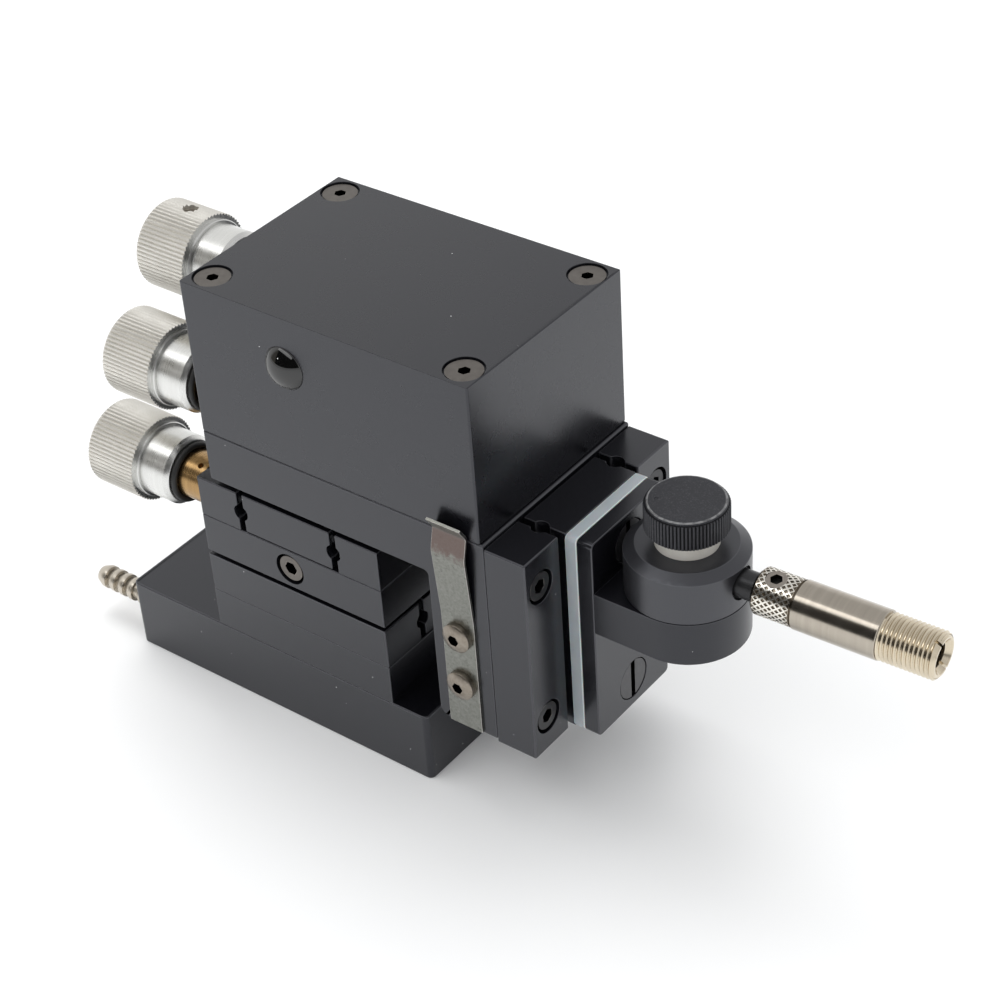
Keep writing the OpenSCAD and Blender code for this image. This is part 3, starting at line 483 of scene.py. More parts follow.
# Blasted surface: fine pits, and broad patches that change its gloss a little
blasted, given, result = effect(
    "blasted surface",
    [("Place", "Vector", None), ("Pit size", "Float", 0.06 * MM), ("Patch size", "Float", 9 * MM)],
    [("Pits", "Float"), ("Patches", "Float")],
)
blasted.links.new(
    noise(blasted, given["Place"], maths(blasted, "DIVIDE", 1, given["Pit size"]), 2),
    result["Pits"],
)
blasted.links.new(
    noise(blasted, given["Place"], maths(blasted, "DIVIDE", 1, given["Patch size"]), 4, 0.6),
    result["Patches"],
)

# Turning marks round the X axis of Place: rings along the side and on the end faces
lathe, given, result = effect(
    "turning marks",
    [("Place", "Vector", None), ("Pitch", "Float", 0.08 * MM)],
    [("Rings", "Float"), ("Bands", "Float")],
)
split = add(lathe, "SeparateXYZ")
lathe.links.new(given["Place"], split.inputs[0])
across = maths(
    lathe,
    "SQRT",
    maths(
        lathe,
        "ADD",
        maths(lathe, "POWER", split.outputs[1], 2),
        maths(lathe, "POWER", split.outputs[2], 2),
    ),
)
along = maths(lathe, "ADD", split.outputs[0], across)
for pitches, out in ((1, "Rings"), (9, "Bands")):
    ring = noise(lathe, None, 1.0, 2, 0.6, noise_dimensions="1D")
    feed(
        lathe,
        ring.node.inputs["W"],
        maths(lathe, "DIVIDE", along, maths(lathe, "MULTIPLY", given["Pitch"], pitches)),
    )
    lathe.links.new(ring, result[out])

# Wear: the rounded edges, broken up so that only parts of them are rubbed
wear, given, result = effect(
    "edge wear",
    [("Place", "Vector", None), ("Edge", "Float", 0.0), ("Amount", "Float", 0.5)],
    [("Worn", "Float")],
)
rubbed = spread(
    wear,
    noise(wear, given["Place"], 1 / (1.6 * MM), 5, 0.65),
    maths(wear, "SUBTRACT", 0.75, maths(wear, "MULTIPLY", given["Amount"], 0.6)),
    maths(wear, "SUBTRACT", 0.95, maths(wear, "MULTIPLY", given["Amount"], 0.6)),
)
wear.links.new(maths(wear, "MULTIPLY", rubbed, given["Edge"], True), result["Worn"])

# Dust: a few bright specks, one to a cell at most
dust, given, result = effect(
    "dust specks",
    [
        ("Place", "Vector", None),
        ("Spacing", "Float", 2.5 * MM),
        ("Speck", "Float", 0.1 * MM),
        ("Share", "Float", 0.3),
    ],
    [("Specks", "Float")],
)
cells = add(dust, "TexVoronoi")
feed(dust, cells.inputs["Vector"], given["Place"])
feed(dust, cells.inputs["Scale"], maths(dust, "DIVIDE", 1, given["Spacing"]))
speck_size = maths(dust, "DIVIDE", given["Speck"], given["Spacing"])
near = maths(dust, "LESS_THAN", cells.outputs["Distance"], speck_size)
tint = add(dust, "SeparateColor")
dust.links.new(cells.outputs["Color"], tint.inputs[0])
dust.links.new(
    maths(dust, "MULTIPLY", near, maths(dust, "LESS_THAN", tint.outputs[0], given["Share"])),
    result["Specks"],
)


def finish(name, colour, roughness, metallic=0.0, **constants):
    """A new material, its tree, its shader and its Object coordinates."""
    material = bpy.data.materials.new(name)
    material.use_nodes = True
    tree = material.node_tree
    shader = tree.nodes["Principled BSDF"]
    shader.inputs["Base Color"].default_value = (*colour, 1)
    shader.inputs["Roughness"].default_value = roughness
    shader.inputs["Metallic"].default_value = metallic
    for key, value in constants.items():
        shader.inputs[key.replace("_", " ")].default_value = value
    material.diffuse_color = (*colour, 1)
    return material, tree, shader, add(tree, "TexCoord").outputs["Object"]


def bump(tree, shader, height, depth, strength=1.0):
    node = add(tree, "Bump")
    node.inputs["Strength"].default_value = strength
    node.inputs["Distance"].default_value = depth
    feed(tree, node.inputs["Height"], height)
    tree.links.new(node.outputs[0], shader.inputs["Normal"])


def edge_value(tree):
    return add(tree, "Attribute", attribute_name="edge").outputs["Fac"]


def socket_shade(tree, colour):
    """The colour, darkened to black by painted shade down in a screw's socket, as far as the piece
    closes its view.
    """
    closed = add(tree, "Attribute", attribute_name="recess").outputs["Fac"]
    return blend_colours(tree, spread(tree, closed, 0.2, 0.6), colour, (0.002, 0.002, 0.002, 1))


BLACK = (0.0042, 0.0042, 0.0058)
BLUE_GLOSS = (0.9, 0.92, 1.0, 1)


def black_finish(
    name, colour=BLACK, gloss=0.25, worn=0.15, pits=0.0014, specks=0.2, ior=1.63, edge_highlight=0.6
):
    """Satin black anodised aluminium, lightened along its rounded edges by a painted highlight."""
    material, tree, shader, spot = finish(name, colour, gloss, IOR=ior, Specular_Tint=BLUE_GLOSS)
    skin = place(tree, blasted, Place=spot)
    rub = place(tree, wear, Place=spot, Edge=edge_value(tree), Amount=worn)["Worn"]
    fleck = place(tree, dust, Place=spot, Share=specks)["Specks"]
    deep, pale = ((*[c * share for c in colour], 1) for share in (0.85, 1.2))
    body = blend_colours(tree, skin["Patches"], deep, pale)
    # painted highlight: every rounded edge made paler, as where it catches the light
    lit_edge_share = maths(tree, "MULTIPLY", edge_value(tree), edge_highlight)
    body = blend_colours(tree, lit_edge_share, body, (0.05, 0.05, 0.055, 1))
    body = blend_colours(tree, rub, body, (0.1, 0.1, 0.105, 1))
    body = blend_colours(tree, fleck, body, (0.7, 0.7, 0.7, 1))
    tree.links.new(body, shader.inputs["Base Color"])
    rough = spread(tree, skin["Patches"], 0.3, 0.7, gloss - 0.015, gloss + 0.02)
    tree.links.new(rough, shader.inputs["Roughness"])
    bump(tree, shader, skin["Pits"], pits * MM)
    return material, tree, shader, spot


def metal_finish(
    name, colour, dull, gloss, place_at=(0, 0, 0), turn=(0, 0, 0), pitch=0.08, depth=0.004
):
    """Turned metal with marks round the axis through place_at."""
    material, tree, shader, spot = finish(name, colour, gloss, 1.0)
    centre = add(tree, "Mapping", vector_type="TEXTURE")
    centre.inputs["Location"].default_value = place_at
    centre.inputs["Rotation"].default_value = turn
    tree.links.new(spot, centre.inputs["Vector"])
    marks = place(tree, lathe, Place=centre.outputs[0], Pitch=pitch * MM)
    skin = place(tree, blasted, Place=spot, Pit_size=0.25 * MM, Patch_size=3 * MM)
    tone = blend_colours(tree, marks["Bands"], (*dull, 1), (*colour, 1))
    tree.links.new(tone, shader.inputs["Base Color"])
    rough = maths(
        tree,
        "ADD",
        spread(tree, marks["Rings"], 0.2, 0.8, gloss * 0.75, gloss * 1.2),
        spread(tree, skin["Patches"], 0.35, 0.75, 0, gloss * 0.3),
    )
    tree.links.new(rough, shader.inputs["Roughness"])
    bump(tree, shader, marks["Rings"], depth * MM)
    return material, tree, shader, spot


black_plate = black_finish("black anodised plate")[0]
black_cover = black_finish("black anodised cover", gloss=0.27, worn=0.06, edge_highlight=0.1)[0]
black_turned = black_finish("black anodised arm", gloss=0.3, worn=0.05, specks=0.12, ior=1.58)[0]
black_disc = black_finish(
    "black anodised disc", (0.014, 0.014, 0.016), gloss=0.34, worn=0.1, specks=0.1, ior=1.75
)[0]


def mottled_finish(
    name, colour, roughness, dark, light, pits, patches, depth, metallic=0.0, **constants
):
    """Patches between two tones, and fine pits. The last thing given back is the patches' tone."""
    material, tree, shader, spot = finish(name, colour, roughness, metallic, **constants)
    skin = place(tree, blasted, Place=spot, Pit_size=pits * MM, Patch_size=patches * MM)
    tone = blend_colours(tree, skin["Patches"], (*dark, 1), (*light, 1))
    tree.links.new(tone, shader.inputs["Base Color"])
    bump(tree, shader, skin["Pits"], depth * MM)
    return material, tree, shader, tone


def screw_finish(name, dark, light, rubbed, metallic, patches=1.3):
    """Blackened steel with rubbed edges, and painted shade in its socket."""
    material, tree, shader, spot = finish(name, light, 0.34, metallic)
    skin = place(tree, blasted, Place=spot, Pit_size=0.12 * MM, Patch_size=patches * MM)
    rub = place(tree, wear, Place=spot, Edge=edge_value(tree), Amount=0.55)["Worn"]
    tone = blend_colours(tree, skin["Patches"], (*dark, 1), (*light, 1))
    # the rubbed edges are wear; the socket is darkened by painted shade
    tone = socket_shade(tree, blend_colours(tree, rub, tone, (*rubbed, 1)))
    tree.links.new(tone, shader.inputs["Base Color"])
    bump(tree, shader, skin["Pits"], 0.005 * MM)
    return material


brown_screw = screw_finish(
    "brown black screw", (0.1, 0.09, 0.082), (0.19, 0.175, 0.16), (0.32, 0.29, 0.26), 0.9
)
black_screw = screw_finish(
    "black screw", (0.02, 0.02, 0.022), (0.05, 0.05, 0.052), (0.2, 0.19, 0.18), 0.6
)
slot_screw = screw_finish(
    "slotted screw", (0.05, 0.05, 0.053), (0.1, 0.1, 0.105), (0.2, 0.2, 0.2), 0.7
)
ring_screw = screw_finish(
    "holder screw", (0.14, 0.125, 0.11), (0.26, 0.23, 0.2), (0.45, 0.4, 0.36), 0.35, 0.6
)

worn_steel, tree, shader, tone = mottled_finish(
    "worn steel screw", (0.27, 0.23, 0.19), 0.32, (0.16, 0.13, 0.1), (0.4, 0.36, 0.31),
    pits=0.15, patches=0.9, depth=0.012, metallic=0.95,
)
# painted shade darkens the sockets of these screws too
tree.links.new(socket_shade(tree, tone), shader.inputs["Base Color"])

steel = metal_finish("ground steel", (0.55, 0.55, 0.54), (0.42, 0.42, 0.41), 0.25)[0]
barb_at = (-37.5 * MM, -16.75 * MM, 7.65 * MM)
nickel_barb = metal_finish(
    "nickel barb", (0.66, 0.61, 0.53), (0.5, 0.45, 0.38), 0.32, place_at=barb_at, depth=0.006
)[0]

rubber = mottled_finish(
    "seal rubber", (0.012, 0.012, 0.012), 0.55, (0.008, 0.008, 0.008), (0.02, 0.02, 0.02),
    pits=0.2, patches=2, depth=0.01,
)[0]
insulator_white, tree, shader, tone = mottled_finish(
    "milky insulator", (0.56, 0.6, 0.61), 0.34, (0.35, 0.385, 0.41), (0.45, 0.49, 0.51),
    pits=0.3, patches=4, depth=0.006, Subsurface_Weight=0.35, Subsurface_Scale=0.0015,
)
# painted highlight: the rounded edges made paler, as where they catch the light
tree.links.new(
    blend_colours(tree, edge_value(tree), tone, (0.74, 0.79, 0.77, 1)), shader.inputs["Base Color"]
)
washer_cream = mottled_finish(
    "cream washer", (0.62, 0.59, 0.54), 0.4, (0.54, 0.51, 0.46), (0.68, 0.66, 0.61),
    pits=0.2, patches=2, depth=0.006,
)[0]

plug_gloss, tree, shader, spot = finish("glossy black plug", (0.002, 0.002, 0.002), 0.05, IOR=1.7)
skin = place(tree, blasted, Place=spot, Pit_size=1 * MM, Patch_size=3 * MM)
tree.links.new(
    spread(tree, skin["Patches"], 0.3, 0.8, 0.03, 0.08), shader.inputs["Roughness"]
)
bump(tree, shader, skin["Pits"], 0.004 * MM)


# Plates, blocks and rails

for node, width, material in (
    ("base_block", 0.55, black_plate),
    ("deck_plate", 0.3, black_plate),
    ("x_rails", 0.35, black_plate),
    ("x_carriage", 0.35, black_plate),
    ("x_plate", 0.35, black_plate),
    ("y_rails", 0.35, black_plate),
    ("y_carriage", 0.35, black_plate),
    ("bracket", 0.5, black_plate),
    ("cover", 0.5, black_cover),
    ("z_rails", 0.45, black_plate),
    ("z_carriage", 0.35, black_plate),
    ("face_plate", 0.35, black_plate),
    ("arm", 0.2, black_turned),
    ("swivel_disc", 0.25, black_disc),
    ("insulator", 0.25, insulator_white),
    ("slip_washer", 0.2, washer_cream),
    ("hose_barb", 0.08, nickel_barb),
    ("stub_pin", 0.1, black_screw),
    ("z_rail_screws", 0.12, black_screw),
    ("lock_screw", 0.12, brown_screw),
    ("cover_screws", 0.08, brown_screw),
    ("plate_screws", 0.08, slot_screw),
    ("clip_screws", 0.06, worn_steel),
    ("holder_screw", 0.1, ring_screw),
    ("side_plug", 0.1, plug_gloss),
    ("base_screws", 0.1, black_screw),
):
    sharp_from = 18 if node == "swivel_disc" else 40  # the disc's sloped rim is gentler
    dress(node, width * MM, material, steps=3 if width > 0.3 else 2, angle=sharp_from)


# Knobs: ribs, polished shoulder, barrel, seal and brass

ribbed_length = 11.8 * MM
for knob in "xyz":
    low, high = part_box(knob + "_barrel")
    middle = Vector((0, (low[1] + high[1]) / 2, (low[2] + high[2]) / 2))
    satin = metal_finish(
        knob + " knob satin", (0.82, 0.8, 0.755), (0.74, 0.72, 0.67), 0.48, middle, pitch=0.3
    )[0]
    bright = metal_finish(
        knob + " knob polished", (0.78, 0.78, 0.76), (0.7, 0.7, 0.68), 0.27, middle, pitch=0.1,
        depth=0.002,
    )[0]
    brass = metal_finish(
        knob + " bushing brass", (0.5, 0.32, 0.14), (0.28, 0.175, 0.08), 0.25, middle, pitch=0.15
    )[0]
    thimble = dress(knob + "_thimble", 0.03 * MM, satin, steps=1, angle=50)
    thimble.data.materials.append(bright)
    ribs_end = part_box(knob + "_thimble")[0][0] + ribbed_length
    for face in thimble.data.polygons:
        faces_front = face.normal.x > 0.8
        if face.center.x > ribs_end - (0.1 * MM if faces_front else 0):
            face.material_index = 1
    dress(knob + "_barrel", 0.12 * MM, bright)
    nodes[knob + "_o_ring"].data.materials[0] = rubber
    nodes[knob + "_bushing"].data.materials[0] = brass
    nodes[knob + "_spindle"].data.materials[0] = steel
    nodes[knob + "_grub"].data.materials[0] = worn_steel
    nodes[knob + "_cages"].data.materials[0] = steel

for node in ("x_rail_screws", "x_plate_screws", "y_rail_screws", "bracket_screws", "arm_screws"):
    nodes[node].data.materials[0] = black_screw
nodes["thumb_screw"].data.materials[0] = steel


# Thumb knob: matte black, its rim rubbed grey, its crests lightened by a painted highlight and its
# grooves darkened by painted shade

thumb_black, tree, shader, spot = black_finish(
    "thumb knob black", (0.008, 0.008, 0.01), 0.42, worn=0.8, pits=0.012, specks=0.0, ior=1.5
)
thumb_low, thumb_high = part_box("thumb_knob")
thumb_r, thumb_top = (thumb_high[0] - thumb_low[0]) / 2, thumb_high[2]
rib_root_r, land_r = thumb_r - 0.36 * MM, thumb_r - 0.95 * MM
from_axis = add(tree, "Mapping", vector_type="TEXTURE")
from_axis.inputs["Location"].default_value = [(a + b) / 2 for a, b in zip(thumb_low, thumb_high)]
tree.links.new(spot, from_axis.inputs["Vector"])
flat = add(tree, "Mapping")
flat.inputs["Scale"].default_value = (1, 1, 0)
tree.links.new(from_axis.outputs[0], flat.inputs["Vector"])
reach = add(tree, "VectorMath", operation="LENGTH")
tree.links.new(flat.outputs[0], reach.inputs[0])
reach = reach.outputs["Value"]
lit_crest = spread(tree, reach, rib_root_r + 0.1 * MM, rib_root_r + 0.26 * MM)
inside = maths(tree, "LESS_THAN", reach, rib_root_r)
shaded_groove = maths(tree, "SUBTRACT", maths(tree, "SUBTRACT", 1, lit_crest), inside, True)
above = add(tree, "SeparateXYZ")
tree.links.new(spot, above.inputs[0])
on_top = maths(tree, "GREATER_THAN", above.outputs[2], thumb_top - 0.16 * MM)
top_edge = maths(tree, "MULTIPLY", on_top, spread(tree, reach, land_r, land_r + 0.15 * MM))
grain = spread(tree, noise(tree, spot, 1 / (0.3 * MM), 5, 0.75), 0.52, 0.72)
rubbed = spread(tree, noise(tree, spot, 1 / (1.2 * MM), 4, 0.7), 0.3, 0.6)
body = shader.inputs["Base Color"].links[0].from_socket
# painted highlight along the rib crests
body = blend_colours(tree, lit_crest, body, (0.026, 0.026, 0.029, 1))
body = blend_colours(tree, maths(tree, "MULTIPLY", grain, 0.8), body, (0.07, 0.07, 0.075, 1))
body = blend_colours(tree, maths(tree, "MULTIPLY", top_edge, rubbed), body, (0.2, 0.2, 0.2, 1))
# painted shade down in the grooves between the ribs
body = blend_colours(tree, shaded_groove, body, (0.0005, 0.0005, 0.0005, 1))
tree.links.new(body, shader.inputs["Base Color"])
tree.links.new(spread(tree, shaded_groove, 0, 1, 0.42, 1), shader.inputs["Roughness"])
dress("thumb_knob", 0.04 * MM, thumb_black, steps=1, angle=50)


# Lead clip: a strip bent from the flat, its lower part against the bracket's leg

heat_low, heat_high = 57.8 * MM, 63.6 * MM  # the band that heat has turned brown
clip_steel, tree, shader, spot = finish("tumbled spring steel", (0.23, 0.235, 0.215), 0.34, 1.0)
skin = place(tree, blasted, Place=spot, Pit_size=0.25 * MM, Patch_size=0.5 * MM)
tone = blend_colours(
    tree, spread(tree, skin["Patches"], 0.2, 0.8), (0.15, 0.152, 0.135, 1), (0.3, 0.305, 0.28, 1)
)
level = add(tree, "SeparateXYZ")
tree.links.new(spot, level.inputs[0])
wander = spread(tree, noise(tree, spot, 1 / (1.3 * MM), 4, 0.65), 0.25, 0.75, -1.6 * MM, 1.6 * MM)
climb = maths(tree, "ADD", level.outputs[2], wander)
heat = maths(
    tree,
    "MULTIPLY",
    spread(tree, climb, heat_low, heat_low + 1.8 * MM),
    spread(tree, level.outputs[2], heat_high, heat_high - 0.7 * MM),
)
tone = blend_colours(tree, maths(tree, "MULTIPLY", heat, 0.75), tone, (0.13, 0.085, 0.078, 1))
# painted highlight: the strip's rounded edges made pale, as where they catch the light
tone = blend_colours(tree, edge_value(tree), tone, (0.62, 0.6, 0.56, 1))
tree.links.new(tone, shader.inputs["Base Color"])
tree.links.new(spread(tree, skin["Patches"], 0.3, 0.75, 0.26, 0.42), shader.inputs["Roughness"])
bump(tree, shader, skin["Pits"], 0.008 * MM)

clip_low, clip_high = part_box("spring_clip")
clip_middle = (clip_low[0] + clip_high[0]) / 2
clip_width = clip_high[0] - clip_low[0]
clip_thick = 0.5 * MM
clip_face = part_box("bracket")[0][1]
flat_l = 25 * MM  # the part that lies on the bracket's leg
clip_steps = ((-1.2 * MM, 14.6 * MM), (1.0 * MM, 4.4 * MM), (-1.7 * MM, 2.6 * MM))
clear_selection()
bpy.ops.mesh.primitive_plane_add(
    size=1, location=(clip_middle, clip_face - clip_thick / 2, clip_low[2] + flat_l / 2),
    rotation=(math.pi / 2, 0, 0),
)
clip = bpy.context.object
clip.name = clip.data.name = "spring_clip_bent"
clip.scale = (clip_width, flat_l, 1)
bpy.ops.object.transform_apply(location=True, rotation=True, scale=True)
top = max(v.co.z for v in clip.data.vertices)
pick(clip, "EDGE", lambda a, b: min(a.z, b.z) > top - 0.1 * MM)
levels = [top]
for outward_step, rise in clip_steps:
    bpy.ops.mesh.extrude_region_move(TRANSFORM_OT_translate={"value": (0, outward_step, rise)})
    levels.append(levels[-1] + rise)
pick(
    clip, "EDGE",
    lambda a, b: abs(a.z - b.z) < 0.01 * MM and any(abs(a.z - z) < 0.1 * MM for z in levels[:-1]),
)
bpy.ops.mesh.bevel(offset=0.6 * MM, offset_type="OFFSET", segments=4, affect="EDGES")
object_mode()
thicken = clip.modifiers.new("thickness", "SOLIDIFY")
thicken.thickness = clip_thick
thicken.offset = 0
apply_modifier(clip, thicken)
outward(clip)
bevel_edges(clip, 0.09 * MM, 2, 50)
finish_mesh(clip)
settle(clip, clip_steel, "spring_clip")


# Probe holder, made along X with its rear at the origin and then put in its place

swing, holder_roll = math.radians(2), math.radians(10)
swivel_x, holder_z, holder_start = 81 * MM, 56.1 * MM, 14.2 * MM
holder_axis = Vector((math.cos(swing), math.sin(swing), 0))
holder_at = Vector((swivel_x, 0, holder_z)) + holder_axis * holder_start
holder_place = (
    Matrix.Translation(holder_at)
    @ Matrix.Rotation(swing, 4, "Z")
    @ Matrix.Rotation(holder_roll, 4, "X")
)
sleeve_r, sleeve_l, smooth_r, smooth_l = 4.25 * MM, 7.8 * MM, 4.4 * MM, 15.5 * MM
thread_r, thread_l, thread_root, pitch = 4.25 * MM, 10.4 * MM, 3.93 * MM, 0.8 * MM
bore_r, bore_l, pin_r, pin_depth = 2.3 * MM, 24 * MM, 2.65 * MM, 5.5 * MM
tip_r, mouth_r, mouth_l = 3.5 * MM, 3.15 * MM, 1 * MM  # nose of the thread, countersunk bore
set_screw_r, set_screw_at = 1.88 * MM, 3.4 * MM
slit_w, slit_l, slit_turn = 0.5 * MM, 2.4 * MM, math.radians(11)  # half of slit_l is in the metal
point_r = 0.01 * MM  # where a turned outline meets the axis
length = sleeve_l + smooth_l + thread_l

nickel = metal_finish(
    "nickel holder", (0.49, 0.445, 0.38), (0.4, 0.36, 0.305), 0.17, holder_at, (0, 0, swing),
    pitch=0.12, depth=0.0012,
)[0]
nickel_thread = metal_finish(
    "nickel thread", (0.74, 0.66, 0.52), (0.55, 0.47, 0.35), 0.2, holder_at, (0, 0, swing),
    pitch=0.2, depth=0.001,
)[0]
nickel_knurl, tree, shader, spot = finish("nickel knurl", (0.45, 0.4, 0.33), 0.22, 1.0)
skin = place(tree, blasted, Place=spot, Pit_size=0.3 * MM, Patch_size=0.8 * MM)
tone = blend_colours(tree, skin["Patches"], (0.18, 0.152, 0.118, 1), (0.4, 0.352, 0.29, 1))
# painted highlight: the knurl's raised lines made pale, as where they catch the light
tone = blend_colours(tree, edge_value(tree), tone, (0.85, 0.82, 0.75, 1))
tree.links.new(tone, shader.inputs["Base Color"])
bump(tree, shader, skin["Pits"], 0.006 * MM)

# knurled sleeve: a tube of squares poked into diamonds, each sunk between raised lines
around, rows, ring_depth = 24, 5, 0.35 * MM
knurl_from, knurl_to = 0.55 * MM, sleeve_l - 0.35 * MM
clear_selection()
bpy.ops.mesh.primitive_circle_add(
    vertices=around, radius=sleeve_r, location=(knurl_from, 0, 0), rotation=(0, math.pi / 2, 0)
)
sleeve = bpy.context.object
sleeve.name = sleeve.data.name = "holder_knurl"
bpy.ops.object.transform_apply(location=True, rotation=True, scale=True)
edit(sleeve, "EDGE")
bpy.ops.mesh.select_all(action="SELECT")
row = (knurl_to - knurl_from) / rows
for _ in range(rows):
    bpy.ops.mesh.extrude_region_move(TRANSFORM_OT_translate={"value": (row, 0, 0)})
bpy.ops.mesh.select_mode(type="FACE")
bpy.ops.mesh.select_all(action="SELECT")
bpy.ops.mesh.poke()
inner = sleeve_r * math.cos(math.pi / around)
pick(sleeve, "VERT", lambda co: math.hypot(co.y, co.z) < (inner + sleeve_r) / 2)
grow = sleeve_r / inner
bpy.ops.transform.resize(
    value=(1, grow, grow), center_override=(0, 0, 0), orient_type="GLOBAL"
)


clear_selection()
corner = 2 * math.pi / around
first = next(v.co for v in sleeve.data.vertices if v.co.x < knurl_from + 0.1 * row)
first_turn = math.atan2(first.z, first.y) / corner % 1


def square_edge(a, b):
    """Whether an edge is a side of the squares that were poked, away from the tube's two ends."""
    lines = [(c.x - knurl_from) / row for c in (a, b)]
    turns = [math.atan2(c.z, c.y) / corner - first_turn for c in (a, b)]
    rim = max(lines) < 0.1 or min(lines) > rows - 0.1
    return not rim and all(abs(v - round(v)) < 0.05 for v in lines + turns)


pick(sleeve, "EDGE", square_edge)
bpy.ops.mesh.dissolve_edges(use_verts=False)
bpy.ops.mesh.select_mode(type="FACE")
bpy.ops.mesh.select_all(action="SELECT")
bpy.ops.mesh.normals_make_consistent(inside=False)
for line_width, sink in ((0.15 * MM, 0), (0.13 * MM, -0.26 * MM)):
    bpy.ops.mesh.inset(thickness=line_width, depth=sink, use_individual=True, use_boundary=True)
object_mode()
ridge_r = 0.999 * sleeve_r * math.cos(corner / 4)
# the raised lines are tagged edge, which carries their painted highlight
raised = [float(math.hypot(f.center.y, f.center.z) > ridge_r) for f in sleeve.data.polygons]
sleeve.data.attributes.new("edge", "FLOAT", "FACE").data.foreach_set("value", raised)

# its two ends: the rear bored for the pin, the front sunk to a groove beside the smooth barrel
ring_r = sleeve_r - ring_depth
for at, steps in (
    (knurl_from, ((0, 3.7 * MM), (0, pin_r), (pin_depth, pin_r), (pin_depth, point_r))),
    (knurl_to, ((knurl_to, ring_r), (sleeve_l, ring_r), (sleeve_l, point_r))),
):
    pick(
        sleeve, "EDGE",
        lambda a, b: abs(a.x - at) < 0.01 * MM and abs(b.x - at) < 0.01 * MM
        and min(math.hypot(c.y, c.z) for c in (a, b)) > sleeve_r * 0.99,
    )
    x, r = at, sleeve_r
    for next_x, next_r in steps:
        bpy.ops.mesh.extrude_region_move(TRANSFORM_OT_translate={"value": (next_x - x, 0, 0)})
        bpy.ops.transform.resize(
            value=(1, next_r / r, next_r / r), center_override=(next_x, 0, 0), orient_type="GLOBAL"
        )
        x, r = next_x, next_r
    bpy.ops.mesh.merge(type="CENTER")
outward(sleeve)
carve(sleeve, rod(set_screw_r, 3 * MM, (set_screw_at, 0, 2.4 * MM), "Z"))
sleeve.matrix_world = holder_place
finish_mesh(sleeve, 25)
settle(sleeve, nickel_knurl, like="probe_holder")

# smooth barrel of the holder, with the end of the bore
smooth_end = sleeve_l + smooth_l
rear_edge, front_edge = 0.12 * MM, 0.15 * MM
barrel = turned(
    "holder_barrel",
    [
        (sleeve_l, point_r), (sleeve_l, smooth_r - rear_edge), (sleeve_l + rear_edge, smooth_r),
        (smooth_end - front_edge, smooth_r), (smooth_end, smooth_r - front_edge),
        (smooth_end, bore_r), (length - bore_l, bore_r), (length - bore_l, point_r),
    ],
)
edit(barrel, "VERT")
bpy.ops.mesh.select_all(action="SELECT")
bpy.ops.mesh.remove_doubles(threshold=0.03 * MM)
bpy.ops.mesh.normals_make_consistent(inside=False)
barrel.matrix_world = holder_place
finish_mesh(barrel)
settle(barrel, nickel, "probe_holder")

# threaded end: a helix on a bored core, both trimmed by the same bevelled envelope
nose = 0.45 * MM
core = turned(
    "holder_thread",
    [
        (smooth_end, bore_r), (smooth_end, thread_root), (length - nose, thread_root),
        (length, tip_r), (length, mouth_r), (length - mouth_l, bore_r), (smooth_end, bore_r),
    ],
)
ridge, ridge_sunk = pitch * 0.48, 0.06 * MM  # half the width of the thread's ridge, its root
clear_selection()
bpy.ops.mesh.primitive_circle_add(
    vertices=4, radius=ridge, location=(smooth_end, 0, thread_root - ridge_sunk),
    rotation=(math.pi / 2, 0, 0),
)
helix = bpy.context.object
bpy.ops.object.transform_apply(location=True, rotation=True, scale=True)
pick(helix, "VERT", lambda co: co.z > thread_root + 0.1 * MM)
bpy.ops.transform.translate(value=(0, 0, thread_r - (thread_root - ridge_sunk + ridge)))
pick(helix, "VERT", lambda co: co.z < thread_root - 0.2 * MM)
bpy.ops.transform.translate(value=(0, 0, ridge - 0.1 * MM))
object_mode()
wind = helix.modifiers.new("wind", "SCREW")
wind.axis = "X"
wind.angle = 2 * math.pi
wind.screw_offset = pitch
wind.iterations = 13
wind.steps = wind.render_steps = 48
wind.use_merge_vertices = True
wind.merge_threshold = 0.001 * MM
apply_modifier(helix, wind)
edit(helix, "EDGE")
bpy.ops.mesh.select_all(action="DESELECT")
bpy.ops.mesh.select_non_manifold(extend=False)
bpy.ops.mesh.fill()
outward(helix)
skin_gap, clear_r, hollow_r = 0.02 * MM, thread_r + 0.4 * MM, 0.5 * MM
trim_start, trim_end, bevel_start = smooth_end + skin_gap, length - skin_gap, length - 0.65 * MM
envelope = turned(
    "envelope",
    [
        (trim_start, hollow_r), (trim_start, clear_r), (bevel_start, clear_r),
        (bevel_start, thread_r + 0.1 * MM), (trim_end, tip_r + 0.05 * MM), (trim_end, hollow_r),
        (trim_start, hollow_r),
    ],
)
carve(helix, envelope, "INTERSECT")
for part, name in ((core, "holder_thread"), (helix, "holder_helix")):
    part.name = part.data.name = name
    clear_selection()
    bpy.ops.mesh.primitive_cube_add(size=1, location=(length, 0, 0))
    slit = bpy.context.object
    slit.scale = (slit_l, slit_w, 12 * MM)
    slit.rotation_euler = (slit_turn, 0, 0)
    bpy.ops.object.transform_apply(location=True, rotation=True, scale=True)
    carve(part, slit)
    part.matrix_world = holder_place
    finish_mesh(part, 30)
    settle(part, nickel_thread, like="probe_holder")


# Studio: pale floor, soft light, the camera that fits the photograph's view

floor_white, tree, shader, spot = finish("studio floor", (0.9, 0.9, 0.9), 0.9)
cloud = noise(tree, spot, 1.3, 2)
tree.links.new(
    blend_colours(tree, cloud, (0.9, 0.9, 0.895, 1), (0.92, 0.92, 0.92, 1)),
    shader.inputs["Base Color"],
)
clear_selection()
bpy.ops.mesh.primitive_circle_add(vertices=128, radius=3, fill_type="NGON", location=(0, 0, 0))
floor = bpy.context.object
floor.name = floor.data.name = "studio_floor"
floor.data.materials.append(floor_white)

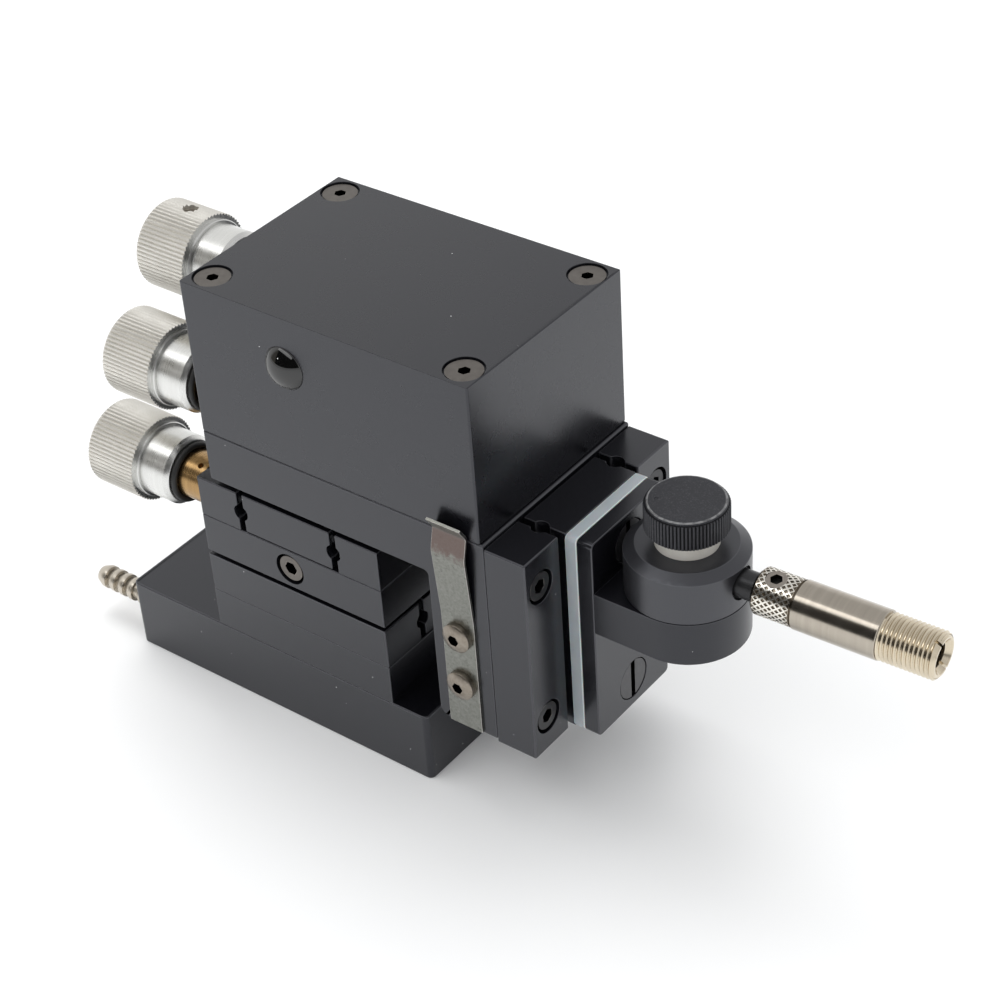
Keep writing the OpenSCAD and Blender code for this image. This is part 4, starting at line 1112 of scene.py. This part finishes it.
world = bpy.data.worlds.new("studio")
bpy.context.scene.world = world
world.use_nodes = True
sky = world.node_tree
backdrop = sky.nodes["Background"]
seen = add(sky, "LightPath")
height = add(sky, "SeparateXYZ")
sky.links.new(add(sky, "TexCoord").outputs["Generated"], height.inputs[0])
across_room, away, aloft = height.outputs
dome = blend_colours(
    sky, spread(sky, aloft, 0.0, 0.7), (0.62, 0.62, 0.63, 1), (0.86, 0.87, 0.88, 1)
)

# the backdrop: white round the horizon and on the left, greyer above, and a dark stretch of room
# on the near side, beige at its far left, which gives the polished metals their dark band
backdrop_tone = blend_colours(
    sky, spread(sky, aloft, 0.15, 0.55), (0.96, 0.96, 0.96, 1), (0.66, 0.66, 0.665, 1)
)
backdrop_tone = blend_colours(
    sky, spread(sky, across_room, -0.45, -0.62), backdrop_tone, (0.96, 0.96, 0.95, 1)
)
dark_band = maths(sky, "MULTIPLY", spread(sky, aloft, 0.03, 0.07), spread(sky, aloft, 0.84, 0.78))
dark_band = maths(sky, "MULTIPLY", dark_band, spread(sky, away, -0.3, -0.45))
dark_tone = blend_colours(
    sky, spread(sky, across_room, -0.68, -0.61), (0.36, 0.34, 0.3, 1), (0.03, 0.029, 0.028, 1)
)
backdrop_tone = blend_colours(sky, dark_band, backdrop_tone, dark_tone)
shown = maths(sky, "ADD", seen.outputs["Is Camera Ray"], seen.outputs["Is Glossy Ray"])
shown = maths(sky, "ADD", shown, seen.outputs["Is Transmission Ray"], True)
sky.links.new(blend_colours(sky, shown, dome, backdrop_tone), backdrop.inputs["Color"])
backdrop.inputs["Strength"].default_value = 1.0


def soft_box(name, place_at, size, power, target=(0.02, 0, 0.04)):
    """A rectangular lamp that faces the middle of the object."""
    lamp = bpy.data.lights.new(name, "AREA")
    lamp.shape = "RECTANGLE"
    lamp.size, lamp.size_y = size
    lamp.energy = power
    stand = bpy.data.objects.new(name, lamp)
    bpy.context.scene.collection.objects.link(stand)
    stand.location = place_at
    aim = Vector(target) - Vector(place_at)
    stand.rotation_euler = aim.to_track_quat("-Z", "Y").to_euler()
    return stand


soft_box("overhead", (-0.65, 0.46, 2.0), (1.3, 1.3), 18.0).visible_glossy = False
soft_box("ceiling panel", (-0.24, -0.8, 1.36), (2.2, 0.48), 6.0)
soft_box("desk lamp", (-0.5, -0.76, 0.45), (0.05, 0.05), 0.15)

# the camera: its angle round the object, its height above the floor's plane and its tilt
camera_at = (0.25694, -0.26318, 0.30516)
turn, lift, roll = (math.radians(v) for v in (39.386, 36.494, -4.109))
back = Vector((math.sin(turn) * math.cos(lift), -math.cos(turn) * math.cos(lift), math.sin(lift)))
right = Vector((math.cos(turn), math.sin(turn), 0))
up = back.cross(right)
across_view = math.cos(roll) * right + math.sin(roll) * up
up_view = -math.sin(roll) * right + math.cos(roll) * up
camera = bpy.data.cameras.new("camera")
camera.lens = 85.09
camera.sensor_width = 36
camera.clip_start = 0.01
eye = bpy.data.objects.new("camera", camera)
bpy.context.scene.collection.objects.link(eye)
pose = Matrix((across_view, up_view, back)).transposed().to_4x4()
pose.translation = camera_at
eye.matrix_world = pose
bpy.context.scene.camera = eye
bpy.context.scene.view_settings.view_transform = "Standard"

object_mode()
